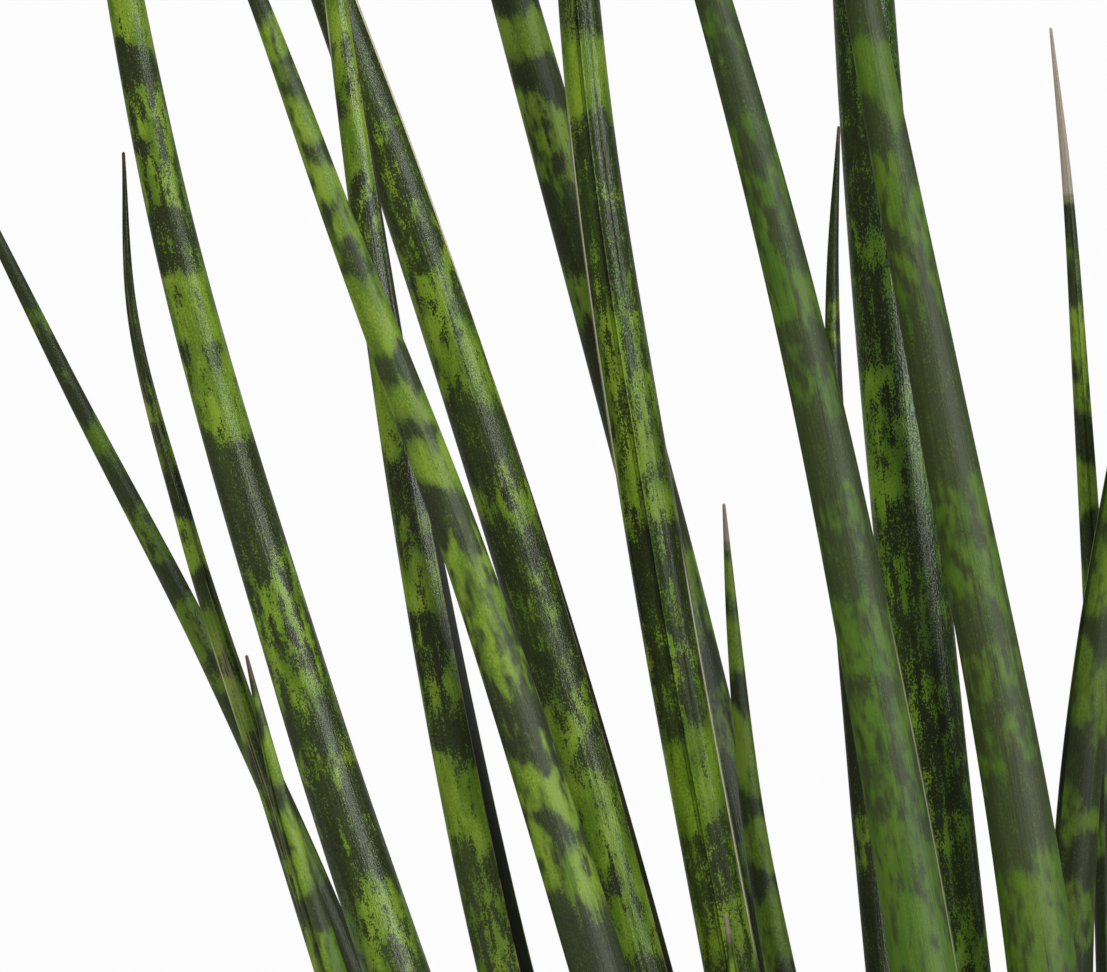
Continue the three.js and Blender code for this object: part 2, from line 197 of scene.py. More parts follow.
@dataclass(frozen=True)
class LeafFinish:
    """Waxy leaf skin: dark grey green, cut by jagged stippled bands of light green with flecks round them;
    painted shade darkens its channel and painted highlights run along some edges.

    softness, roughness and grit hold one value for smooth bands and one for finely stippled ones.
    """

    dark: Colour = screen_colour(42, 48, 25)
    dark_green: Colour = screen_colour(62, 80, 34)
    light: Colour = screen_colour(140, 173, 49)
    light_deep: Colour = screen_colour(92, 128, 20)
    faded: Colour = screen_colour(64, 102, 8)
    faded_dark: Colour = screen_colour(58, 70, 32)
    cool_dark: Colour = screen_colour(34, 52, 34)
    cool_light: Colour = screen_colour(76, 148, 44)
    fleck: Colour = screen_colour(96, 120, 44)
    # Painted shade for the channel's floor and crease
    channel_shade: Colour = screen_colour(28, 32, 18)
    # Painted highlight for the pale lines along some leaf edges
    rim: Colour = screen_colour(236, 228, 200)
    margin: Colour = screen_colour(150, 146, 112)
    margin_brown: Colour = screen_colour(92, 52, 38)
    tip_brown: Colour = screen_colour(74, 46, 34)
    tip_bleached: Colour = screen_colour(196, 184, 170)
    streak: Triple = (2.1 * MM, 2.1 * MM, 5.5 * MM)
    column: Triple = (0.9 * MM, 0.9 * MM, 40 * MM)
    grain: Triple = (0.36 * MM, 0.36 * MM, 0.52 * MM)
    patchy_weights: Triple = (0.95, 0.22, 0.2)
    stippled_weights: Triple = (0.64, 0.28, 0.72)
    outer_weights: Triple = (0.36, 0.36, 0.86)
    wander: Triple = (7 * MM, 7 * MM, 14 * MM)
    wander_reach: float = 1.5
    edge_blur: float = 3.0
    broad: Triple = (9 * MM, 9 * MM, 30 * MM)
    dark_weights: Pair = (0.8, 0.5)
    dark_span: Pair = (-1.2, 2.2)
    mottle: Triple = (4 * MM, 4 * MM, 14 * MM)
    light_weights: Pair = (0.5, 0.7)
    light_span: Pair = (-1.5, 1.5)
    scar: Triple = (1 * MM, 1 * MM, 7 * MM)
    scar_span: Pair = (0.2, 0.8)
    thread: Triple = (0.5 * MM, 0.5 * MM, 30 * MM)
    thread_span: Pair = (0.7, 1.3)
    thread_height: float = 0.05
    rim_highlight_reach: Pair = (0.55, 0.35)
    ring_span: Pair = (3.0, 1.0)
    tip_span: Pair = (0.6, -0.6)
    softness: Pair = (1.7, 0.26)
    roughness: Pair = (0.62, 0.29)
    groove_roughness: float = 0.8
    grit: Pair = (0.035, 0.06)
    relief: float = 0.2 * MM
    gloss: float = 0.4

    def markings(self, nodes: Shader, place: Socket, stipple: Socket) -> tuple[Socket, Socket]:
        """Draws the light bands and the flecks from the leaf's own band field.

        Args:
            nodes: The material under construction.
            place: The place on the skin.
            stipple: How far the bands break up into fine dots.

        Returns:
            How light the skin is, from 0 to 1, and how far inside a band it lies, from 0 to 1.
        """
        wander = nodes.bell(place, self.wander)
        edge = nodes.math("MULTIPLY_ADD", wander, self.wander_reach, nodes.attribute("band"))
        inside = nodes.step(edge, -self.edge_blur, self.edge_blur)
        streaks = nodes.bell(place, self.streak, 3)
        layers = (streaks, nodes.bell(place, self.column), nodes.bell(place, self.grain))
        patchy = nodes.weighted(self.patchy_weights, *layers)
        inner = nodes.between(stipple, patchy, nodes.weighted(self.stippled_weights, *layers))
        patch = nodes.between(inside, nodes.weighted(self.outer_weights, *layers), inner)
        allowed = nodes.between(inside, nodes.attribute("flecks"), nodes.attribute("cover"))
        spare = nodes.math("SUBTRACT", allowed, patch)
        softness = nodes.between(stipple, *self.softness)
        return nodes.step(nodes.math("DIVIDE", spare, softness), -1, 1), inside

    def material(self) -> Material:
        """Builds the leaf skin.

        Returns:
            The material.
        """
        nodes = Shader(bpy.data.materials.new("leaf_skin"))
        place = nodes.attribute("grain", "Vector")
        stipple, cool, fade, channel, alive, bleached = (
            nodes.attribute(name) for name in ("stipple", "cool", "fade", "channel", "alive", "bleached")
        )
        light, inside = self.markings(nodes, place, stipple)
        fine = nodes.bell(place, self.grain, 2)
        tone = nodes.weighted(self.dark_weights, fine, nodes.bell(place, self.broad, 2))
        dark = nodes.blend(nodes.step(tone, *self.dark_span), self.dark, self.dark_green)
        dark = nodes.blend(fade, dark, self.faded_dark)
        dark = nodes.blend(cool, dark, self.cool_dark)
        tone = nodes.weighted(self.light_weights, fine, nodes.bell(place, self.mottle, 2))
        bright = nodes.blend(nodes.step(tone, *self.light_span), self.light_deep, self.light)
        bright = nodes.blend(inside, self.fleck, bright)
        bright = nodes.blend(fade, bright, self.faded)
        bright = nodes.blend(cool, bright, self.cool_light)
        skin = nodes.blend(light, dark, bright)
        # Painted shade where the channel attribute marks the channel's floor and crease
        skin = nodes.blend(channel, skin, self.channel_shade)
        scars = nodes.step(nodes.bell(place, self.scar, 2), *self.scar_span)
        margin = nodes.blend(scars, self.margin, self.margin_brown)
        skin = nodes.blend(nodes.attribute("lip"), skin, margin)
        # Painted highlight: pale lines along the edges that the leaf's markings list
        on_rim_highlight = nodes.step(nodes.math("ABSOLUTE", nodes.attribute("from_rim_highlight")), *self.rim_highlight_reach)
        skin = nodes.blend(nodes.math("MULTIPLY", on_rim_highlight, nodes.attribute("rim")), skin, self.rim)
        threads = nodes.bell(place, self.thread)
        lines = nodes.step(threads, *self.thread_span)
        skin = nodes.blend(nodes.math("MULTIPLY", lines, nodes.attribute("lined")), skin, self.margin)
        ring = nodes.blend(bleached, self.margin_brown, self.margin)
        skin = nodes.blend(nodes.step(alive, *self.ring_span), skin, ring)
        tip = nodes.blend(bleached, self.tip_brown, self.tip_bleached)
        skin = nodes.blend(nodes.step(alive, *self.tip_span), skin, tip)
        skin = nodes.vector("SCALE", {0: skin, "Scale": nodes.attribute("shade")})
        grit = nodes.math("MULTIPLY", fine, nodes.between(stipple, *self.grit))
        height = nodes.math("MULTIPLY_ADD", threads, self.thread_height, grit)
        roughness = nodes.between(stipple, *self.roughness)
        roughness = nodes.between(channel, roughness, self.groove_roughness)
        normal = nodes.bump(height, self.relief)
        return nodes.surface(skin, roughness, {"Normal": normal, "Specular IOR Level": self.gloss})


@dataclass(frozen=True)
class SheathFinish:
    """Dry papery scale leaf: straw brown with purplish cross bands and fine veins along it."""

    straw: Colour = screen_colour(176, 150, 110)
    purple: Colour = screen_colour(96, 70, 62)
    edge: Colour = screen_colour(206, 190, 158)
    band: Triple = (9 * MM, 9 * MM, 6 * MM)
    band_span: Pair = (0.42, 0.6)
    edge_span: Pair = (5 * MM, 0.5 * MM)
    vein: Triple = (0.6 * MM, 0.6 * MM, 40 * MM)
    vein_span: Pair = (0.55, 0.75)
    relief: float = 0.2 * MM
    roughness: float = 0.72

    def material(self) -> Material:
        """Builds the papery skin.

        Returns:
            The material.
        """
        nodes = Shader(bpy.data.materials.new("papery_scale_leaf"))
        place = nodes.attribute("grain", "Vector")
        bands = nodes.step(nodes.noise(place, self.band, 3.0), *self.band_span)
        skin = nodes.blend(bands, self.straw, self.purple)
        skin = nodes.blend(nodes.step(nodes.attribute("to_edge"), *self.edge_span), skin, self.edge)
        veins = nodes.noise(place, self.vein, 2.0)
        skin = nodes.blend(nodes.step(veins, *self.vein_span), skin, self.straw)
        return nodes.surface(skin, self.roughness, {"Normal": nodes.bump(veins, self.relief)})


@dataclass(frozen=True)
class EarthFinish:
    """Something in the potting mix: two tones in small blotches, rough."""

    name: str
    deep: Colour
    pale: Colour
    blotch: float
    relief: float
    roughness: float = 0.9
    grain_share: float = 1 / 6
    weights: Pair = (0.5, 0.5)
    span: Pair = (0.38, 0.62)

    def material(self) -> Material:
        """Builds the finish.

        Returns:
            The material.
        """
        nodes = Shader(bpy.data.materials.new(self.name))
        place = nodes.object_place()
        broad = nodes.noise(place, (self.blotch,) * 3, 4.0)
        grain = nodes.noise(place, (self.blotch * self.grain_share,) * 3, 3.0)
        tone = nodes.weighted(self.weights, broad, grain)
        skin = nodes.blend(nodes.step(tone, *self.span), self.deep, self.pale)
        return nodes.surface(skin, self.roughness, {"Normal": nodes.bump(tone, self.relief)})


@dataclass(frozen=True)
class ClayFinish:
    """Unglazed terracotta: mottled, with fine grit, turning marks and a pale bloom of lime at the foot."""

    clay: Colour = screen_colour(176, 98, 66)
    clay_pale: Colour = screen_colour(196, 124, 90)
    bloom: Colour = screen_colour(222, 196, 174)
    mottle: Triple = (45 * MM, 45 * MM, 30 * MM)
    mottle_span: Pair = (0.35, 0.65)
    patch: Triple = (30 * MM, 30 * MM, 18 * MM)
    patch_span: Pair = (0.45, 0.62)
    bloom_top: float = 55 * MM
    bloom_strength: float = 0.6
    grit: Triple = (0.7 * MM, 0.7 * MM, 0.7 * MM)
    grit_share: float = 0.6
    turning: Triple = (400 * MM, 400 * MM, 2.2 * MM)
    relief: float = 0.25 * MM
    roughness: float = 0.82

    def material(self) -> Material:
        """Builds the clay.

        Returns:
            The material.
        """
        nodes = Shader(bpy.data.materials.new("terracotta"))
        place = nodes.object_place()
        height = nodes.add("SeparateXYZ", {0: place}).outputs[2]
        mottle = nodes.step(nodes.noise(place, self.mottle, 4.0), *self.mottle_span)
        skin = nodes.blend(mottle, self.clay, self.clay_pale)
        patches = nodes.step(nodes.noise(place, self.patch, 4.0), *self.patch_span)
        lime = nodes.math("MULTIPLY", nodes.step(height, self.bloom_top, 0.0), patches)
        skin = nodes.blend(nodes.math("MULTIPLY", lime, self.bloom_strength), skin, self.bloom)
        turning = nodes.noise(place, self.turning, 1.0)
        rough = nodes.math("MULTIPLY_ADD", nodes.noise(place, self.grit, 3.0), self.grit_share, turning)
        return nodes.surface(skin, self.roughness, {"Normal": nodes.bump(rough, self.relief)})


def select(*pieces: Piece) -> None:
    """Selects only these pieces and makes the first one active.

    Args:
        *pieces: The pieces, or nothing to deselect all.
    """
    bpy.ops.object.select_all(action="DESELECT")
    for piece in pieces:
        piece.select_set(True)
    if pieces:
        bpy.context.view_layer.objects.active = pieces[0]


class Element(Enum):
    """What of a mesh is picked."""

    VERTEX = "VERT"
    EDGE = "EDGE"
    FACE = "FACE"


class Editing:
    """Edit mode on one object, in which parts of its mesh are picked by their place."""

    def __init__(self, piece: Piece) -> None:
        """Remembers the piece to edit."""
        self.piece = piece

    def __enter__(self) -> "Editing":
        """Goes into edit mode with nothing selected.

        Returns:
            This object, to pick with.
        """
        select(self.piece)
        bpy.ops.object.mode_set(mode="EDIT")
        bpy.ops.mesh.select_mode(type=Element.VERTEX.value)
        bpy.ops.mesh.select_all(action="DESELECT")
        return self

    def __exit__(self, *_: object) -> None:
        """Goes back to object mode."""
        bpy.ops.object.mode_set(mode="OBJECT")

    def pick(self, element: Element, wanted: Callable[..., bool]) -> None:
        """Selects only the vertices, edges or faces that pass the test.

        Args:
            element: Which of the three.
            wanted: The test, on a vertex's place, on an edge's two ends, or on a face's middle and normal.
        """
        bpy.ops.mesh.select_mode(type=element.value)
        bpy.ops.mesh.select_all(action="DESELECT")
        mesh = bmesh.from_edit_mesh(self.piece.data)
        if element is Element.VERTEX:
            for vertex in mesh.verts:
                vertex.select_set(wanted(vertex.co))
        elif element is Element.EDGE:
            for edge in mesh.edges:
                edge.select_set(wanted(edge.verts[0].co, edge.verts[1].co))
        else:
            for face in mesh.faces:
                face.select_set(wanted(face.calc_center_median(), face.normal))
        mesh.select_flush_mode()
        bmesh.update_edit_mesh(self.piece.data)


def dress(piece: Piece, slot: Slot, material: Material, *nodes: str) -> None:
    """Gives a finished piece its material and its body, and hides the CAD nodes that it stands for.

    Args:
        piece: The piece.
        slot: The record's material slot; not used.
        material: The finish.
        *nodes: CAD nodes that the piece replaces.
    """
    piece.data.materials.clear()
    piece.data.materials.append(material)
    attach(piece, BODY)
    if nodes:
        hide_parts(*nodes)
    LOG.info("%s: %d faces", piece.name, len(piece.data.polygons))


def smooth_all(mesh: bpy.types.Mesh) -> None:
    """Shades every face of a mesh smooth."""
    mesh.polygons.foreach_set("use_smooth", np.ones(len(mesh.polygons), dtype=bool))


def places(mesh: bpy.types.Mesh) -> Array:
    """Gives the place of each vertex.

    Args:
        mesh: The mesh.

    Returns:
        One row for each vertex.
    """
    flat = np.zeros(len(mesh.vertices) * 3)
    mesh.vertices.foreach_get("co", flat)
    return flat.reshape(-1, 3)


def store(mesh: bpy.types.Mesh, name: str, values: Array | float) -> None:
    """Gives each vertex a number or a vector that a material reads.

    Args:
        mesh: The mesh.
        name: Name of the attribute.
        values: One number, or one row of three, for each vertex, or one number for all.
    """
    rows = np.full(len(mesh.vertices), values) if np.ndim(values) == 0 else values
    kind, key = ("FLOAT_VECTOR", "vector") if rows.ndim == 2 else ("FLOAT", "value")
    mesh.attributes.new(name, kind, "POINT").data.foreach_set(key, rows.astype(np.float32).ravel())


def straight_tube(sides: int) -> Piece:
    """Models an open tube to draw pieces out of.

    Args:
        sides: How many sides it has.

    Returns:
        The tube, 1 long and 1 in radius, standing on the origin.
    """
    select()
    bpy.ops.mesh.primitive_cylinder_add(
        vertices=sides, radius=1, depth=1, location=(0, 0, 0.5), end_fill_type="NOTHING"
    )
    bpy.ops.object.transform_apply(location=True, rotation=True, scale=True)
    return bpy.context.object


def copy_shaped(blank: Piece, name: str, moved: Array) -> Piece:
    """Copies a blank with its own mesh and moves its vertices.

    Args:
        blank: The modelled blank.
        name: Name of the copy.
        moved: The new place of each vertex.

    Returns:
        The copy.
    """
    mesh = blank.data.copy()
    mesh.name = name
    mesh.vertices.foreach_set("co", moved.ravel())
    smooth_all(mesh)
    mesh.update()
    piece = bpy.data.objects.new(name, mesh)
    bpy.context.scene.collection.objects.link(piece)
    return piece


def join(pieces: list[Piece], name: str) -> Piece:
    """Joins pieces into the first of them.

    Args:
        pieces: The pieces.
        name: Name of the joined piece.

    Returns:
        The joined piece.
    """
    select(*pieces)
    bpy.ops.object.join()
    pieces[0].name = name
    return pieces[0]


def smoothstep(value: Array | float, low: float, high: float) -> Array:
    """Rises smoothly from 0 to 1 as the value goes from low to high."""
    share = np.clip((value - low) / (high - low), 0, 1)
    return share * share * (3 - 2 * share)


def curve_through(knots: Array, values: Array, at: Array, steady: bool = False) -> Array:
    """Runs a smooth curve through values.

    Args:
        knots: Where the values are given, rising.
        values: One value, or one row, at each knot.
        at: Where the curve is wanted.
        steady: Whether the curve may rise and fall only where the values do.

    Returns:
        The curve at those places.
    """
    slopes = np.gradient(values, knots, axis=0)
    if steady:
        secants = np.diff(values) / np.diff(knots)
        product = secants[:-1] * secants[1:]
        total = secants[:-1] + secants[1:]
        inner = np.where(product > 0, 2 * product / np.where(total == 0, 1, total), 0)
        slopes = np.concatenate([secants[:1], inner, secants[-1:]])
    index = np.clip(np.searchsorted(knots, at, side="right") - 1, 0, len(knots) - 2)
    span = knots[index + 1] - knots[index]
    share = (at - knots[index]) / span
    if values.ndim == 2:
        share, span = share[:, None], span[:, None]
    low, high = values[index], values[index + 1]
    start, end = slopes[index] * span, slopes[index + 1] * span
    square, cube = share**2, share**3
    rise = 3 * square - 2 * cube
    return low * (1 - rise) + high * rise + (cube - 2 * square + share) * start + (cube - square) * end


def unit(rows: Array) -> Array:
    """Brings each row to a length of 1."""
    return rows / np.linalg.norm(rows, axis=1, keepdims=True)


@dataclass(frozen=True)
class LeafSection:
    """How the CAD leaf's rings are made, to read its line back from them."""

    ring: int = 10
    channel_reach: float = 0.64
    lip_angle: float = math.radians(24)

    def mean_shift(self) -> float:
        """Gives how far the mean of a ring lies towards the channel, in radii.

        Returns:
            The distance.
        """
        step = (2 * math.pi - 2 * self.lip_angle) / (self.ring - 2)
        backs = [math.cos(self.lip_angle + step * i) for i in range(self.ring - 1)]
        return (self.channel_reach + sum(backs)) / self.ring


class LeafLine:
    """The line, the radius and the channel's direction of one CAD leaf, read from its node in the frame."""

    def __init__(self, node: str, section: LeafSection) -> None:
        """Reads the node's rings from the foot to the tip.

        Args:
            node: Name of the CAD node.
            section: How its rings are made.
        """
        corners = np.unique(np.round(places(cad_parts[node].data), 5), axis=0)
        corners = corners[np.argsort(corners[:, 2])]
        ring = section.ring
        cuts = [0, ring + 1, *range(2 * ring + 1, len(corners) - ring, ring), len(corners)]
        shift = section.mean_shift()
        centres, radii, channels = [], [], []
        for low, high in zip(cuts[:-1], cuts[1:]):
            group = corners[low:high]
            mean = group.mean(axis=0)
            near = group[np.argsort(np.linalg.norm(group - mean, axis=1))]
            capped = len(group) > ring
            bottom = near[1] if capped else near[0]
            reach = np.linalg.norm(bottom - mean)
            channels.append((bottom - mean) / reach)
            radii.append(reach / (section.channel_reach - shift))
            centres.append(near[0] if capped else mean - shift * radii[-1] * channels[-1])
        radii[-1] = np.linalg.norm(corners[-1] - centres[-1])
        channels[-1] = channels[-2]
        self.centres, self.radii, self.channels = np.array(centres), np.array(radii), np.array(channels)
        steps = np.linalg.norm(np.diff(self.centres, axis=0), axis=1)
        self.knots = np.concatenate([[0], np.cumsum(steps)])
        self.length = float(self.knots[-1])

    def centre(self, reach: Array) -> Array:
        """Gives the middle of the leaf at distances from its foot."""
        return curve_through(self.knots, self.centres, reach)

    def radius(self, reach: Array) -> Array:
        """Gives the leaf's radius at distances from its foot."""
        return curve_through(self.knots, self.radii, reach, steady=True)

    def axes(self, reach: Array) -> tuple[Array, Array, Array]:
        """Gives the sideways, channel and lengthwise directions at distances from the foot.

        Args:
            reach: The distances.

        Returns:
            Three unit rows for each distance.
        """
        ahead, behind = np.clip(reach + MM, 0, self.length), np.clip(reach - MM, 0, self.length)
        along = unit(self.centre(ahead) - self.centre(behind))
        channel = curve_through(self.knots, self.channels, reach)
        channel = unit(channel - along * np.sum(channel * along, axis=1, keepdims=True))
        return np.cross(channel, along), channel, along


@dataclass(frozen=True)
class LeafBlank:
    """The straight leaf that every leaf is drawn out of: 1 long, 1 in radius, the channel towards +Y.

    Angles count in its columns, and distances in radii.
    """

    sides: int = 30
    rows: int = 190
    lips: tuple[int, ...] = (2, -2)
    lip_width: float = 0.03
    lip_reach: float = 1.02
    channel_reaches: Pair = (0.64, 0.77)
    grooves: tuple[int, ...] = (6, -5, -9, 13)
    groove_width: float = 0.035
    groove_reach: float = 0.965
    near_column: float = 0.02
    near_line: float = 1e-4

    def upright(self, first: Vector, second: Vector) -> bool:
        """Tells whether an edge runs along the leaf."""
        beside = math.hypot(first.x - second.x, first.y - second.y)
        return abs(first.z - second.z) > self.near_line and beside < self.near_line

    def at_columns(self, place: Vector, columns: tuple[int, ...]) -> bool:
        """Tells whether a place is on one of some columns."""
        angle = math.atan2(place.x, place.y) / (2 * math.pi) * self.sides
        return any(abs(angle - column) < self.near_column for column in columns)

    def set_reach(self, edit: Editing, columns: tuple[int, ...], reach: float) -> None:
        """Moves columns to a distance from the leaf's axis."""
        edit.pick(Element.VERTEX, lambda place: self.at_columns(place, columns))
        bpy.ops.transform.resize(value=(reach, reach, 1), center_override=(0, 0, 0.5))

    def split(self, edit: Editing, columns: tuple[int, ...], width: float) -> None:
        """Splits each of some columns into three, a width apart."""
        edit.pick(Element.EDGE, lambda a, b: self.upright(a, b) and self.at_columns(a, columns))
        bpy.ops.mesh.bevel(offset=width, segments=2, affect="EDGES")

    def build(self) -> Piece:
        """Models the blank.

        Returns:
            The blank, which isn't a piece and is removed after the last copy.
        """
        blank = straight_tube(self.sides)
        with Editing(blank) as edit:
            self.split(edit, self.lips, self.lip_width)
            self.split(edit, self.grooves, self.groove_width)
            self.set_reach(edit, self.lips, self.lip_reach)
            self.set_reach(edit, self.grooves, self.groove_reach)
            self.set_reach(edit, (0,), self.channel_reaches[0])
            self.set_reach(edit, (1, -1), self.channel_reaches[1])
            for cuts in (self.rows // 2 - 1, 1):
                edit.pick(Element.EDGE, self.upright)
                bpy.ops.mesh.subdivide(number_cuts=cuts)
            for end in (0.0, 1.0):
                edit.pick(Element.EDGE, lambda first, second: first.z == second.z == end)
                bpy.ops.mesh.edge_face_add()
                bpy.ops.mesh.poke()
            bpy.ops.mesh.select_all(action="SELECT")
            bpy.ops.mesh.normals_make_consistent(inside=False)
        return blank


@dataclass(frozen=True)
class Band:
    """One light cross band: its lowest and highest place over the table in millimetres, how much of it is
    light, and how far it climbs from the leaf's left edge to its right edge."""

    low: float
    high: float
    cover: float = 0.85
    climb: float = 0.0


class Side(Enum):
    """A leaf's edge as the photograph sees it."""

    LEFT = -1
    RIGHT = 1


@dataclass(frozen=True)
class RimHighlight:
    """A painted highlight: a pale line along one edge of a leaf, between two heights over the table in
    millimetres, and how strong it is, from 0 to 1."""

    side: Side
    low: float
    high: float
    strength: float = 1.0


@dataclass(frozen=True)
class Marking:
    """A leaf's markings in the stretch that the photograph shows, read off it.

    bands: The light bands. flecks: Share of the dark skin that is light. channel: How open the channel is
    there. grooved: How deep the fine grooves along the back are. dry: Length of the dead tip in millimetres.
    bleached: How pale the dead tip is. stipple: How far the bands break up into fine dots. shade: How light
    the skin is, 1 for most leaves. fade: How dull the bands are. cool: How bluish the green is. lined: How
    far fine pale lines run along the leaf. rim_highlights: The painted highlights along its edges. All but
    dry and shade go from 0 to 1.
    """

    bands: tuple[Band, ...] = ()
    flecks: float = 0.03
    channel: float = 0.45
    grooved: float = 0.25
    dry: float = 2.0
    bleached: float = 0.2
    stipple: float = 0.5
    shade: float = 1.0
    fade: float = 0.0
    cool: float = 0.0
    lined: float = 0.0
    rim_highlights: tuple[RimHighlight, ...] = ()


